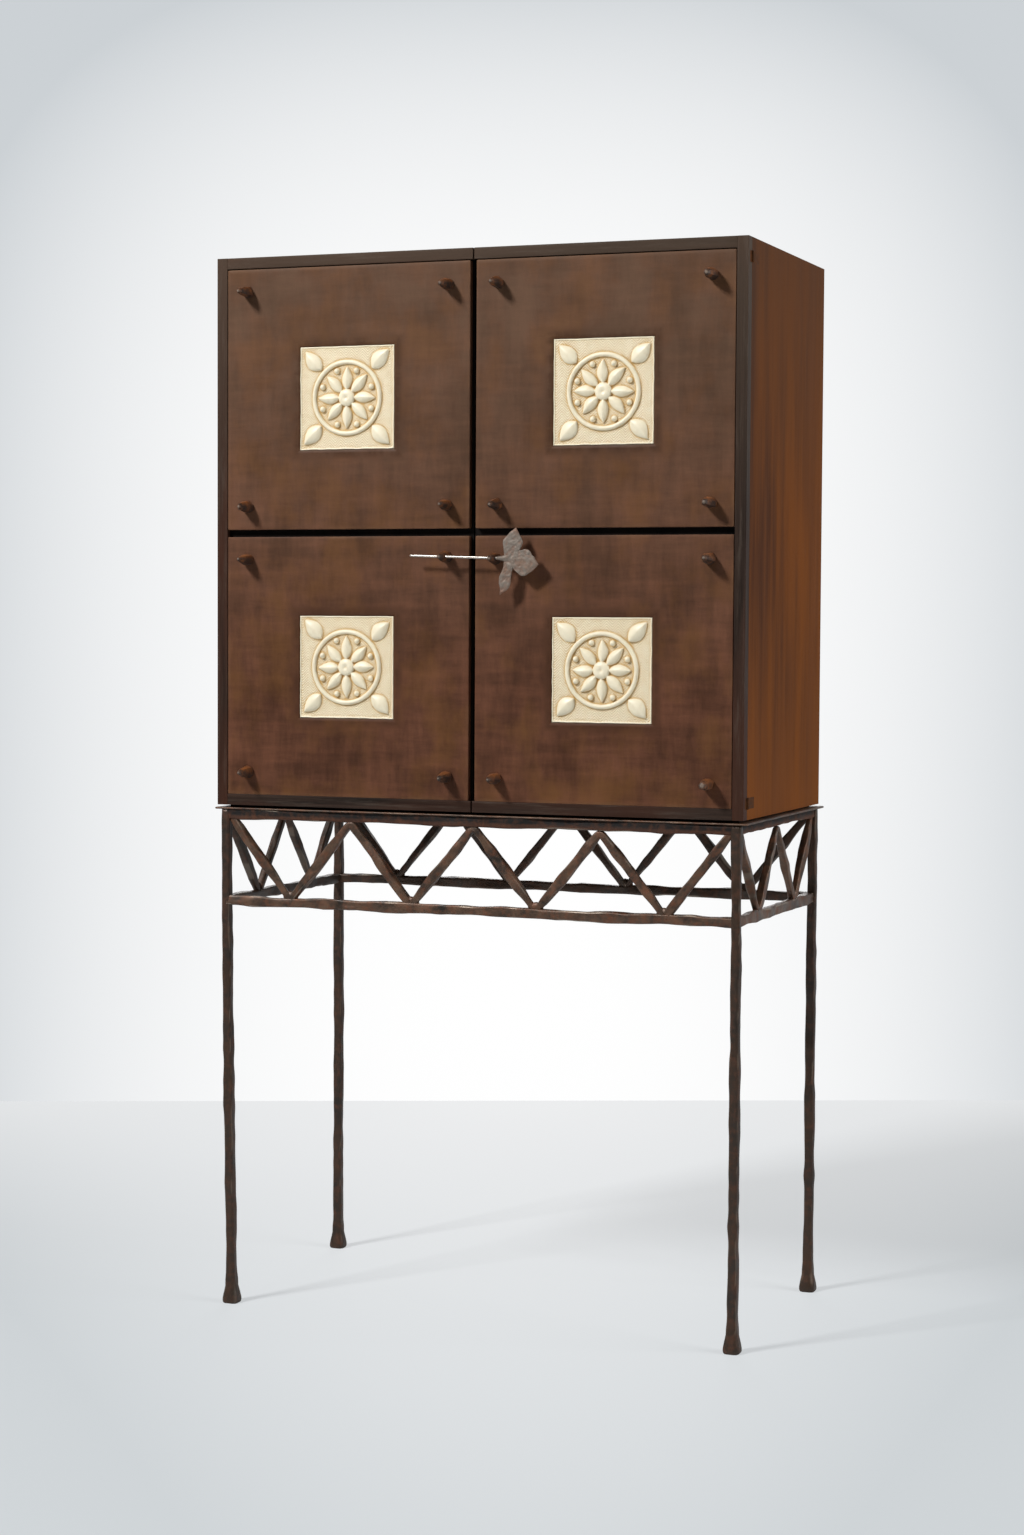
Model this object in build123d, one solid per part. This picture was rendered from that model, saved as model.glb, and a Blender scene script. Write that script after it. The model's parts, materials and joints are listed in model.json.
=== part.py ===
# Two-door cabinet on a hand-forged iron stand, in millimetres.
#
# +Z is up and -Y is the front. The floor is z = 0, and the origin lies under the middle of
# the box that holds the whole piece. Heights in the cabinet are counted from its underside
# (CABINET_BASE) and depths from the face of the doors (DOOR_FACE).
from build123d import *
import os
from math import atan2, degrees, hypot, radians, tan

# ---- driving dimensions -------------------------------------------------------------
# cabinet
CABINET_WIDTH = 850
CABINET_HEIGHT = 842
CARCASS_DEPTH = 403.5
BOARD_THICKNESS = 18
BACK_THICKNESS = 6
BACK_REBATE = 8
BACK_CLEARANCE = 0.5
SHELF_THICKNESS = 16
SHELF_SETBACK = 20
SHELF_CLEARANCE = 1
DIVIDER_SETBACK = 2
DIVIDER_HOUSING = 6
DIVIDER_MIDDLE = 420
SHELF_PIN_RADIUS = 2.5
SHELF_PIN_DEPTH = 8
SHELF_PIN_REACH = 10
SHELF_PIN_PITCH = 32
SHELF_PIN_INSET = 50
HOLE_CLEARANCE = 0.1
DOWEL_RADIUS = 4
DOWEL_IN_SIDE = 12
DOWEL_IN_BOARD = 16
DOWELS_PER_JOINT = 4
NAIL_RADIUS = 0.9
NAIL_LENGTH = 14
NAILS_PER_EDGE = 4

# doors
DOOR_THICKNESS = 18
DOOR_GAP = 0.5
DOOR_MEETING_GAP = 2
LIPPING_WIDTH = 17
PANEL_THICKNESS = 10
PANEL_MEETING_GAP = 10
PANEL_SPLIT_GAP = 11
PANEL_SIDE_GAP = 1
PANEL_TOP_GAP = 1.5
LOWER_PANEL_HEIGHT = 397.5

# ceramic tiles
TILE_SIZE = 156
TILE_PROUD = 1
TILE_RECESS = 6
TILE_RECESS_CLEARANCE = 1
TILE_RIM = 5
TILE_FIELD_SINK = 2
ROSETTE_BOSS_RADIUS = 13
ROSETTE_RING_RADIUS = 54
ROSETTE_RING_SECTION = 3.5
ROSETTE_PETALS = 8
PETAL_LENGTH = 34
PETAL_WIDTH = 17
PETAL_HEIGHT = 5
CORNER_LEAF_LENGTH = 36
CORNER_LEAF_WIDTH = 22

# pegs on the panels
PEG_INSET = 35
PEG_REACH = 35
PEG_FOOT_RADIUS = 8.5
PEG_BELLY_RADIUS = 9
PEG_BELLY_HEIGHT = 9
PEG_TIP_RADIUS = 3.6
PEG_SIDES = 8
PEG_SHANK_RADIUS = 4
PEG_SHANK_LENGTH = 15
EYE_TIP_RADIUS = 4.6

# locking pin: a rod that slides through an eye in one peg of each door
ROD_RADIUS = 2
ROD_CLEARANCE = 0.4
ROD_STANDOFF = 21
ROD_HEIGHT = 382
ROD_FALL = 1.65
ROD_TAIL = 52
ROD_IN_SOCKET = 10
SOCKET_STANDOFF = 8
EYE_SLOT_ABOVE = 1.0
LEAF_THICKNESS = 3
SOCKET_LENGTH = 14
SOCKET_MOUTH_RADIUS = 3
SOCKET_END_RADIUS = 4

# hinges
HINGE_HEIGHT = 16.5
HINGE_FROM_BOTTOM = 16
HINGE_FROM_TOP = 20
HINGE_PLATE = 2
HINGE_DOOR_PLATE = 10
HINGE_CARCASS_PLATE = 36
KNUCKLE_RADIUS = 2.6
KNUCKLE_GAP = 0.3
KNUCKLE_RELIEF = 0.4
HINGE_PIN_RADIUS = 1.3
HINGE_PIN_CLEARANCE = 0.05
PIVOT_OUTSET = 0.3
SCREW_HEAD_RADIUS = 2.3
SCREW_SHANK_RADIUS = 1.3
SCREW_HEAD_DEPTH = 1.2
SCREW_LENGTH = 12

# stand
PLATE_TOP = 780
PLATE_SIDE_OVERHANG = 6
PLATE_BACK_OVERHANG = 14
PLATE_THICKNESS = 3
PLINTH_HEIGHT = 4
PLINTH_INSET = 12
PLINTH_FRONT_INSET = 2
LEG_SIZE = 16
LEG_INSET_X = 18
LEG_INSET_Y = 10
LEG_CORNER = 2.5
FRONT_LEFT_FOOT_SHIFT = 9
FOOT_SIZE = 28
FOOT_CORNER = 7
FOOT_SOLE = 24
FOOT_SOLE_CORNER = 6
FOOT_HEIGHT = 55
FOOT_HEEL = 7
RAIL_SIZE = 15
TRUSS_DEPTH = 150
STRUT_SIZE = 12
FRONT_STRUT_PAIRS = 4
SIDE_STRUT_PAIRS = 2
PLATE_SCREW_RADIUS = 2
PLATE_SCREW_GRIP = 11
PLATE_SCREW_HEAD_RADIUS = 4
PLATE_SCREW_HEAD = 2.5
PLATE_SCREW_INSET_X = 125
PLATE_SCREW_INSET_Y = 72

# ---- places worked out from them ----------------------------------------------------
PLATE_WIDTH = CABINET_WIDTH + 2 * PLATE_SIDE_OVERHANG
PLATE_DEPTH = DOOR_THICKNESS + DOOR_GAP + CARCASS_DEPTH + PLATE_BACK_OVERHANG
FOOT_BACK_REACH = PLATE_DEPTH - LEG_INSET_Y + FOOT_SIZE / 2
DOOR_FACE = (PEG_REACH - FOOT_BACK_REACH) / 2
DOOR_BACK = DOOR_FACE + DOOR_THICKNESS
CARCASS_FRONT = DOOR_BACK + DOOR_GAP
CARCASS_BACK = CARCASS_FRONT + CARCASS_DEPTH
CARCASS_MIDDLE = (CARCASS_FRONT + CARCASS_BACK) / 2
CABINET_BASE = PLATE_TOP + PLINTH_HEIGHT
CABINET_TOP = CABINET_BASE + CABINET_HEIGHT
HALF_WIDTH = CABINET_WIDTH / 2
INNER_HALF_WIDTH = HALF_WIDTH - BOARD_THICKNESS
FLOOR_BOARD_TOP = CABINET_BASE + BOARD_THICKNESS
TOP_BOARD_BOTTOM = CABINET_TOP - BOARD_THICKNESS
DIVIDER_BOTTOM = CABINET_BASE + DIVIDER_MIDDLE - BOARD_THICKNESS / 2
DIVIDER_TOP = DIVIDER_BOTTOM + BOARD_THICKNESS
COMPARTMENTS = ((FLOOR_BOARD_TOP, DIVIDER_BOTTOM), (DIVIDER_TOP, TOP_BOARD_BOTTOM))
SHELF_LEVELS = [(low + high) / 2 for low, high in COMPARTMENTS]
PIN_ROWS = (CARCASS_FRONT + SHELF_PIN_INSET, CARCASS_BACK - BACK_THICKNESS - SHELF_PIN_INSET)

STILE_INSIDE = HALF_WIDTH - LIPPING_WIDTH
PANEL_NEAR = PANEL_MEETING_GAP / 2
PANEL_FAR = STILE_INSIDE - PANEL_SIDE_GAP
PANEL_MIDDLE = (PANEL_NEAR + PANEL_FAR) / 2
LOWER_PANEL_BOTTOM = CABINET_BASE + LIPPING_WIDTH
LOWER_PANEL_TOP = LOWER_PANEL_BOTTOM + LOWER_PANEL_HEIGHT
UPPER_PANEL_BOTTOM = LOWER_PANEL_TOP + PANEL_SPLIT_GAP
UPPER_PANEL_TOP = CABINET_TOP - LIPPING_WIDTH - PANEL_TOP_GAP
PANELS = {"lower": (LOWER_PANEL_BOTTOM, LOWER_PANEL_TOP), "upper": (UPPER_PANEL_BOTTOM, UPPER_PANEL_TOP)}
PEG_NEAR = PANEL_NEAR + PEG_INSET
PEG_FAR = PANEL_FAR - PEG_INSET
ROD_LEFT_END = -PEG_NEAR - ROD_TAIL
ROD_RIGHT_END = PEG_NEAR + SOCKET_STANDOFF

HINGE_LEVELS = (CABINET_BASE + HINGE_FROM_BOTTOM, CABINET_TOP - HINGE_FROM_TOP - HINGE_HEIGHT)
KNUCKLE_HEIGHT = (HINGE_HEIGHT - 2 * KNUCKLE_GAP) / 3
PIVOT_X = HALF_WIDTH + PIVOT_OUTSET
PIVOT_Y = DOOR_BACK + DOOR_GAP / 2

PLATE_BOTTOM = PLATE_TOP - PLATE_THICKNESS
LEG_X = PLATE_WIDTH / 2 - LEG_INSET_X
LEG_FRONT_Y = DOOR_FACE + LEG_INSET_Y
LEG_BACK_Y = DOOR_FACE + PLATE_DEPTH - LEG_INSET_Y
UPPER_RAIL = (PLATE_BOTTOM - RAIL_SIZE, PLATE_BOTTOM)
LOWER_RAIL = (PLATE_BOTTOM - TRUSS_DEPTH, PLATE_BOTTOM - TRUSS_DEPTH + RAIL_SIZE)
BEYOND = 1  # how far a cut starts outside the face it opens

SIDES = {"left": -1, "right": 1}
BASE_ALIGN = (Align.CENTER, Align.CENTER, Align.MIN)


# ---- small helpers ------------------------------------------------------------------
def block(x, y, z):
    """A rectangular solid between three pairs of limits."""
    limits = (x, y, z)
    size = [high - low for low, high in limits]
    middle = [(low + high) / 2 for low, high in limits]
    return Pos(*middle) * Box(*size)


def across(side, near, far):
    """x limits of a piece on one side, from two distances out from the centre line."""
    return tuple(sorted((side * near, side * far)))


def spread(low, high, count):
    """Evenly spaced places between two limits, half a pitch in from each."""
    pitch = (high - low) / count
    return [low + (index + 0.5) * pitch for index in range(count)]


def bar(start, direction, radius, length):
    """A round bar from a point along a direction."""
    return Plane(start, z_dir=direction) * Cylinder(radius, length, align=BASE_ALIGN)


def cosine(angle):
    """Cosine of an angle in degrees."""
    return 1 / hypot(1, tan(radians(angle)))


def save(name, *solids):
    """Writes one sub-part to its own STEP file."""
    shape = solids[0] if len(solids) == 1 else Compound(children=list(solids))
    export_step(shape, f"parts/{name}.step")


def countersunk(start, direction, clearance=0):
    """A countersunk screw whose head is flush at the start point, or its hole."""
    plane = Plane(start, z_dir=direction)
    head = Cone(
        SCREW_HEAD_RADIUS + clearance, SCREW_SHANK_RADIUS + clearance, SCREW_HEAD_DEPTH, align=BASE_ALIGN
    )
    shank = Cylinder(SCREW_SHANK_RADIUS + clearance, SCREW_LENGTH + clearance, align=BASE_ALIGN)
    return plane * (head + shank)


# ---- hinges -------------------------------------------------------------------------
def knuckle(side, bottom, top, radius):
    """An upright cylinder about a door's hinge axis."""
    return bar((side * PIVOT_X, PIVOT_Y, bottom), (0, 0, 1), radius, top - bottom)


def knuckle_levels(level):
    """Heights of the three knuckles of a hinge; the middle one belongs to the door."""
    step = KNUCKLE_HEIGHT + KNUCKLE_GAP
    return [(level + index * step, level + index * step + KNUCKLE_HEIGHT) for index in range(3)]


def hinge_plate(side, level, depths, own, others):
    """One half of a hinge: a flush plate, its own knuckles, and room for the other half's."""
    x_limits = across(side, HALF_WIDTH - HINGE_PLATE, HALF_WIDTH)
    half = block(x_limits, depths, (level, level + HINGE_HEIGHT))
    for bottom, top in others:
        room = KNUCKLE_RADIUS + KNUCKLE_GAP
        half -= knuckle(side, bottom - KNUCKLE_GAP, top + KNUCKLE_GAP, room)
    for bottom, top in own:
        half += knuckle(side, bottom, top, KNUCKLE_RADIUS)
    bore = HINGE_PIN_RADIUS + HINGE_PIN_CLEARANCE
    half -= knuckle(side, level - BEYOND, level + HINGE_HEIGHT + BEYOND, bore)
    return half


def door_plate_depths():
    return (DOOR_BACK - HINGE_DOOR_PLATE, DOOR_BACK)


def carcass_plate_depths():
    return (CARCASS_FRONT, CARCASS_FRONT + HINGE_CARCASS_PLATE)


def hinge_recess(side, level, depths):
    """What a hinge takes out of the wood: the plate's recess and the knuckles' groove."""
    x_limits = across(side, HALF_WIDTH - HINGE_PLATE, HALF_WIDTH + BEYOND)
    recess = block(x_limits, depths, (level, level + HINGE_HEIGHT))
    low = level - KNUCKLE_RELIEF
    high = level + HINGE_HEIGHT + KNUCKLE_RELIEF
    return recess + knuckle(side, low, high, KNUCKLE_RADIUS + KNUCKLE_RELIEF)


def door_screw_places(side, level):
    """Start points of the screws in the door's half: one above the other."""
    depth = DOOR_BACK - (HINGE_DOOR_PLATE + KNUCKLE_RADIUS) / 2
    return [(side * HALF_WIDTH, depth, height) for height in spread(level, level + HINGE_HEIGHT, 2)]


def carcass_screw_places(side, level):
    """Start points of the screws in the carcass's half: one behind the other."""
    start = CARCASS_FRONT + KNUCKLE_RADIUS
    depths = spread(start, CARCASS_FRONT + HINGE_CARCASS_PLATE, 2)
    return [(side * HALF_WIDTH, depth, level + HINGE_HEIGHT / 2) for depth in depths]


def drill_for_screws(wood, side, places):
    for place in places:
        wood -= countersunk(place, (-side, 0, 0), HOLE_CLEARANCE)
    return wood


def make_hinges():
    """Both halves, the pins and the screws of all four hinges."""
    pins = []
    carcass_plates = []
    carcass_screws = []
    for name, side in SIDES.items():
        door_plates = []
        door_screws = []
        for level in HINGE_LEVELS:
            lower, middle, upper = knuckle_levels(level)
            door_half = hinge_plate(side, level, door_plate_depths(), [middle], [lower, upper])
            carcass_half = hinge_plate(side, level, carcass_plate_depths(), [lower, upper], [middle])
            door_places = door_screw_places(side, level)
            carcass_places = carcass_screw_places(side, level)
            door_plates.append(drill_for_screws(door_half, side, door_places))
            carcass_plates.append(drill_for_screws(carcass_half, side, carcass_places))
            door_screws += [countersunk(place, (-side, 0, 0)) for place in door_places]
            carcass_screws += [countersunk(place, (-side, 0, 0)) for place in carcass_places]
            pins.append(knuckle(side, level, level + HINGE_HEIGHT, HINGE_PIN_RADIUS))
        save(f"{name}_door_hinge_plates", *door_plates)
        save(f"{name}_door_hinge_screws", *door_screws)
    save("carcass_hinge_plates", *carcass_plates)
    save("carcass_hinge_screws", *carcass_screws)
    save("hinge_pins", *pins)


# ---- carcass ------------------------------------------------------------------------
def dowel_places():
    """Depths of the dowels in each corner joint."""
    return spread(CARCASS_FRONT, CARCASS_BACK - BACK_THICKNESS, DOWELS_PER_JOINT)


def dowels(side, height, clearance=0):
    """The dowels that join a side to a horizontal board, or their holes."""
    start = side * (INNER_HALF_WIDTH + DOWEL_IN_SIDE + clearance)
    length = DOWEL_IN_SIDE + DOWEL_IN_BOARD + 2 * clearance
    radius = DOWEL_RADIUS + clearance
    return [bar((start, depth, height), (-side, 0, 0), radius, length) for depth in dowel_places()]


def shelf_pin(side, depth, height, clearance=0):
    """A peg that carries a loose shelf, or its hole in the side."""
    start = side * (INNER_HALF_WIDTH + SHELF_PIN_DEPTH + clearance)
    length = SHELF_PIN_DEPTH + SHELF_PIN_REACH + clearance
    return bar((start, depth, height), (-side, 0, 0), SHELF_PIN_RADIUS + clearance, length)


def shelf_pin_height(level):
    """A shelf at this middle height rests on pins whose tops touch its underside."""
    return level - SHELF_THICKNESS / 2 - SHELF_PIN_RADIUS


def nail(place, clearance=0):
    """A panel nail driven forward from the back face, or its hole."""
    return bar(place, (0, -1, 0), NAIL_RADIUS + clearance, NAIL_LENGTH + clearance)


def side_nail_places(side):
    x = side * (INNER_HALF_WIDTH + BACK_REBATE / 2)
    return [(x, CARCASS_BACK, z) for z in spread(FLOOR_BOARD_TOP, TOP_BOARD_BOTTOM, NAILS_PER_EDGE)]


def board_nail_places(height):
    inner = INNER_HALF_WIDTH
    return [(x, CARCASS_BACK, height) for x in spread(-inner, inner, NAILS_PER_EDGE)]


FLOOR_NAIL_HEIGHT = FLOOR_BOARD_TOP - BACK_REBATE / 2
TOP_NAIL_HEIGHT = TOP_BOARD_BOTTOM + BACK_REBATE / 2
REBATE_DEPTHS = (CARCASS_BACK - BACK_THICKNESS, CARCASS_BACK + BEYOND)
REBATE_HEIGHTS = (FLOOR_BOARD_TOP - BACK_REBATE, TOP_BOARD_BOTTOM + BACK_REBATE)
BOARD_MIDDLES = (CABINET_BASE + BOARD_THICKNESS / 2, CABINET_TOP - BOARD_THICKNESS / 2)


def carcass_side(side):
    """An upright side with its rebate, housing, dowel and pin holes and hinge recesses."""
    depths = (CARCASS_FRONT, CARCASS_BACK)
    board = block(across(side, INNER_HALF_WIDTH, HALF_WIDTH), depths, (CABINET_BASE, CABINET_TOP))
    rebate_x = across(side, INNER_HALF_WIDTH - BEYOND, INNER_HALF_WIDTH + BACK_REBATE)
    board -= block(rebate_x, REBATE_DEPTHS, REBATE_HEIGHTS)
    housing_x = across(side, INNER_HALF_WIDTH - BEYOND, INNER_HALF_WIDTH + DIVIDER_HOUSING)
    housing_depths = (CARCASS_FRONT + DIVIDER_SETBACK, CARCASS_BACK - BACK_THICKNESS)
    board -= block(housing_x, housing_depths, (DIVIDER_BOTTOM, DIVIDER_TOP))
    for height in BOARD_MIDDLES:
        board -= dowels(side, height, HOLE_CLEARANCE)
    for level in SHELF_LEVELS:
        for step in (-1, 0, 1):
            height = shelf_pin_height(level) + step * SHELF_PIN_PITCH
            board -= [shelf_pin(side, depth, height, HOLE_CLEARANCE) for depth in PIN_ROWS]
    board -= [nail(place, HOLE_CLEARANCE) for place in side_nail_places(side)]
    for level in HINGE_LEVELS:
        board -= hinge_recess(side, level, carcass_plate_depths())
        board = drill_for_screws(board, side, carcass_screw_places(side, level))
    return board


def carcass_board(middle, rebate_heights, nail_height):
    """The floor or the top of the carcass, between the two sides."""
    inner = (-INNER_HALF_WIDTH, INNER_HALF_WIDTH)
    heights = (middle - BOARD_THICKNESS / 2, middle + BOARD_THICKNESS / 2)
    board = block(inner, (CARCASS_FRONT, CARCASS_BACK), heights)
    board -= block(inner, REBATE_DEPTHS, rebate_heights)
    for side in SIDES.values():
        board -= dowels(side, middle, HOLE_CLEARANCE)
    board -= [nail(place, HOLE_CLEARANCE) for place in board_nail_places(nail_height)]
    return board


def plate_screw_places():
    """Where the stand's plate is screwed up into the floor of the carcass."""
    half_x = HALF_WIDTH - PLATE_SCREW_INSET_X
    half_y = CARCASS_DEPTH / 2 - PLATE_SCREW_INSET_Y
    return [(x, CARCASS_MIDDLE + y) for x in (-half_x, half_x) for y in (-half_y, half_y)]


def plate_screw(place, clearance=0):
    """A screw from under the plate into the carcass floor, or its hole."""
    length = PLATE_THICKNESS + PLINTH_HEIGHT + PLATE_SCREW_GRIP
    start = (*place, PLATE_BOTTOM - clearance)
    return bar(start, (0, 0, 1), PLATE_SCREW_RADIUS + clearance, length + 2 * clearance)


def make_carcass():
    """The wooden box, its back, its divider and its loose shelves."""
    for name, side in SIDES.items():
        save(f"{name}_side", carcass_side(side))
    floor_rebate = (FLOOR_BOARD_TOP - BACK_REBATE, FLOOR_BOARD_TOP + BEYOND)
    top_rebate = (TOP_BOARD_BOTTOM - BEYOND, TOP_BOARD_BOTTOM + BACK_REBATE)
    floor_board = carcass_board(BOARD_MIDDLES[0], floor_rebate, FLOOR_NAIL_HEIGHT)
    floor_board -= [plate_screw(place, HOLE_CLEARANCE) for place in plate_screw_places()]
    save("carcass_floor", floor_board)
    save("carcass_top", carcass_board(BOARD_MIDDLES[1], top_rebate, TOP_NAIL_HEIGHT))

    reach = INNER_HALF_WIDTH + BACK_REBATE - BACK_CLEARANCE
    low, high = REBATE_HEIGHTS
    heights = (low + BACK_CLEARANCE, high - BACK_CLEARANCE)
    back = block((-reach, reach), (CARCASS_BACK - BACK_THICKNESS, CARCASS_BACK), heights)
    nails = side_nail_places(-1) + side_nail_places(1)
    nails += board_nail_places(FLOOR_NAIL_HEIGHT) + board_nail_places(TOP_NAIL_HEIGHT)
    back -= [nail(place, HOLE_CLEARANCE) for place in nails]
    save("back_panel", back)
    save("back_panel_nails", *[nail(place) for place in nails])

    reach = INNER_HALF_WIDTH + DIVIDER_HOUSING
    depths = (CARCASS_FRONT + DIVIDER_SETBACK, CARCASS_BACK - BACK_THICKNESS)
    save("middle_shelf", block((-reach, reach), depths, (DIVIDER_BOTTOM, DIVIDER_TOP)))

    reach = INNER_HALF_WIDTH - SHELF_CLEARANCE
    depths = (CARCASS_FRONT + SHELF_SETBACK, CARCASS_BACK - BACK_THICKNESS - SHELF_CLEARANCE)
    pins = []
    for name, level in zip(("lower_shelf", "upper_shelf"), SHELF_LEVELS):
        heights = (level - SHELF_THICKNESS / 2, level + SHELF_THICKNESS / 2)
        save(name, block((-reach, reach), depths, heights))
        height = shelf_pin_height(level)
        pins += [shelf_pin(side, depth, height) for side in SIDES.values() for depth in PIN_ROWS]
    save("shelf_pins", *pins)
    all_dowels = [dowels(side, height) for side in SIDES.values() for height in BOARD_MIDDLES]
    save("carcass_dowels", *sum(all_dowels, []))


# ---- pegs and the locking pin -------------------------------------------------------
def rod_height(x):
    """Height of the locking pin's axis at x: it falls a little from left to right."""
    return CABINET_BASE + ROD_HEIGHT - x * tan(radians(ROD_FALL))


def along_rod(x):
    """A plane on the pin's axis at x, with its z direction along the pin to the right."""
    direction = (1, 0, -tan(radians(ROD_FALL)))
    return Plane((x, DOOR_FACE - ROD_STANDOFF, rod_height(x)), x_dir=(0, -1, 0), z_dir=direction)


def shank(x, height, clearance=0):
    """The round tail of a peg, which goes through the panel into the door board."""
    length = PEG_SHANK_LENGTH + clearance
    return bar((x, DOOR_FACE, height), (0, 1, 0), PEG_SHANK_RADIUS + clearance, length)


def peg(x, height, tip_radius=PEG_TIP_RADIUS):
    """A faceted taper that stands out of a panel, on its round tail."""
    foot = Plane((x, DOOR_FACE, height), x_dir=(1, 0, 0), z_dir=(0, -1, 0))
    stations = ((0, PEG_FOOT_RADIUS), (PEG_BELLY_HEIGHT, PEG_BELLY_RADIUS), (PEG_REACH, tip_radius))
    sections = [foot.offset(out) * RegularPolygon(radius, PEG_SIDES) for out, radius in stations]
    return loft(sections, ruled=True) + shank(x, height)


def eye_bore():
    """The pin's running hole, long enough to pass both eye pegs."""
    length = PANEL_FAR
    return along_rod(-length / 2) * Cylinder(ROD_RADIUS + ROD_CLEARANCE, length, align=BASE_ALIGN)


def left_eye_peg():
    """The left eye is open to the front, so that the doors can part with the pin in place."""
    x = -PEG_NEAR
    height = rod_height(x)
    half_bore = ROD_RADIUS + ROD_CLEARANCE
    slot = block(
        (x - 2 * PEG_BELLY_RADIUS, x + 2 * PEG_BELLY_RADIUS),
        (DOOR_FACE - PEG_REACH - BEYOND, DOOR_FACE - ROD_STANDOFF),
        (height - half_bore, height + half_bore + EYE_SLOT_ABOVE),
    )
    return peg(x, height, EYE_TIP_RADIUS) - eye_bore() - slot


def leaf_blade():
    """The pin's leaf-shaped grip: three pointed lobes, drawn from the rod's end at (0, 0)."""
    top_tip = (29, 46.5)
    right_tip = (66, -7.5)
    bottom_tip = (6, -55.5)
    stem_top = (11.5, 6)
    stem_bottom = (11, -4)
    upper_notch = (35.5, 12.5)
    lower_notch = (26, -14)
    outline = [
        Spline(stem_top, (10, 14), (9, 26), (16.5, 36), top_tip),
        Spline(top_tip, (37, 32), (40, 24), upper_notch),
        Spline(upper_notch, (47.5, 14), (58, 4), right_tip),
        Spline(right_tip, (54, -19), (41.5, -25.5), (31, -19.5), lower_notch),
        Spline(lower_notch, (24, -22.5), (21, -42), bottom_tip),
        Spline(bottom_tip, (6, -45), (4, -30), (10, -15), stem_bottom),
        Line(stem_bottom, stem_top),
    ]
    face = make_face(outline)
    return extrude(face, LEAF_THICKNESS / 2, both=True)


def make_lock_pin():
    """The rod, and the leaf on its right end with the socket that holds it."""
    length = (ROD_RIGHT_END - ROD_LEFT_END) / cosine(ROD_FALL) + ROD_IN_SOCKET
    save("lock_pin_rod", along_rod(ROD_LEFT_END) * Cylinder(ROD_RADIUS, length, align=BASE_ALIGN))

    end = along_rod(ROD_RIGHT_END)
    blade_plane = Plane(end.origin, x_dir=end.z_dir, z_dir=(0, -1, 0))
    socket = end * Cone(SOCKET_MOUTH_RADIUS, SOCKET_END_RADIUS, SOCKET_LENGTH, align=BASE_ALIGN)
    bore = end * Cylinder(ROD_RADIUS, ROD_IN_SOCKET, align=BASE_ALIGN)
    save("lock_pin_leaf", blade_plane * leaf_blade() + socket - bore)


# ---- doors --------------------------------------------------------------------------
def make_lippings(name, side):
    """The dark strips that edge a door at its outer side, top and bottom."""
    heights = (CABINET_BASE, CABINET_TOP)
    depths = (DOOR_FACE, DOOR_BACK)
    stile = block(across(side, STILE_INSIDE, HALF_WIDTH), depths, heights)
    for level in HINGE_LEVELS:
        stile -= hinge_recess(side, level, door_plate_depths())
        stile = drill_for_screws(stile, side, door_screw_places(side, level))
    save(f"{name}_outer_lipping", stile)
    x_limits = across(side, DOOR_MEETING_GAP / 2, STILE_INSIDE)
    save(f"{name}_top_lipping", block(x_limits, depths, (CABINET_TOP - LIPPING_WIDTH, CABINET_TOP)))
    save(f"{name}_bottom_lipping", block(x_limits, depths, (CABINET_BASE, CABINET_BASE + LIPPING_WIDTH)))


def peg_places(side, panel):
    """x and height of a panel's four pegs; an eye peg sits on the pin's own line."""
    bottom, top = PANELS[panel]
    places = {}
    for x in (side * PEG_NEAR, side * PEG_FAR):
        for height in (bottom + PEG_INSET, top - PEG_INSET):
            is_eye = panel == "lower" and abs(x) == PEG_NEAR and height > (bottom + top) / 2
            places[(x, rod_height(x) if is_eye else height)] = is_eye
    return places


def tile_middle(side, panel):
    bottom, top = PANELS[panel]
    return side * PANEL_MIDDLE, (bottom + top) / 2


def door_panel(side, panel):
    """A square panel with the tile's recess and the pegs' holes."""
    depths = (DOOR_FACE, DOOR_FACE + PANEL_THICKNESS)
    face = block(across(side, PANEL_NEAR, PANEL_FAR), depths, PANELS[panel])
    x, height = tile_middle(side, panel)
    half = TILE_SIZE / 2 + TILE_RECESS_CLEARANCE
    recess_depths = (DOOR_FACE - BEYOND, DOOR_FACE + TILE_RECESS)
    face -= block((x - half, x + half), recess_depths, (height - half, height + half))
    face -= [shank(*place, HOLE_CLEARANCE) for place in peg_places(side, panel)]
    return face


def petal(length, width, height):
    """A pointed, rounded leaf lying on the XY plane along +X, from its root at the origin."""
    bulge = Sphere(1)
    bulge = scale(bulge, (length / 2, width / 2, height))
    upper = bulge & Pos(0, 0, height) * Box(2 * length, 2 * width, 2 * height)
    return Pos(length / 2, 0, 0) * upper


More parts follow.
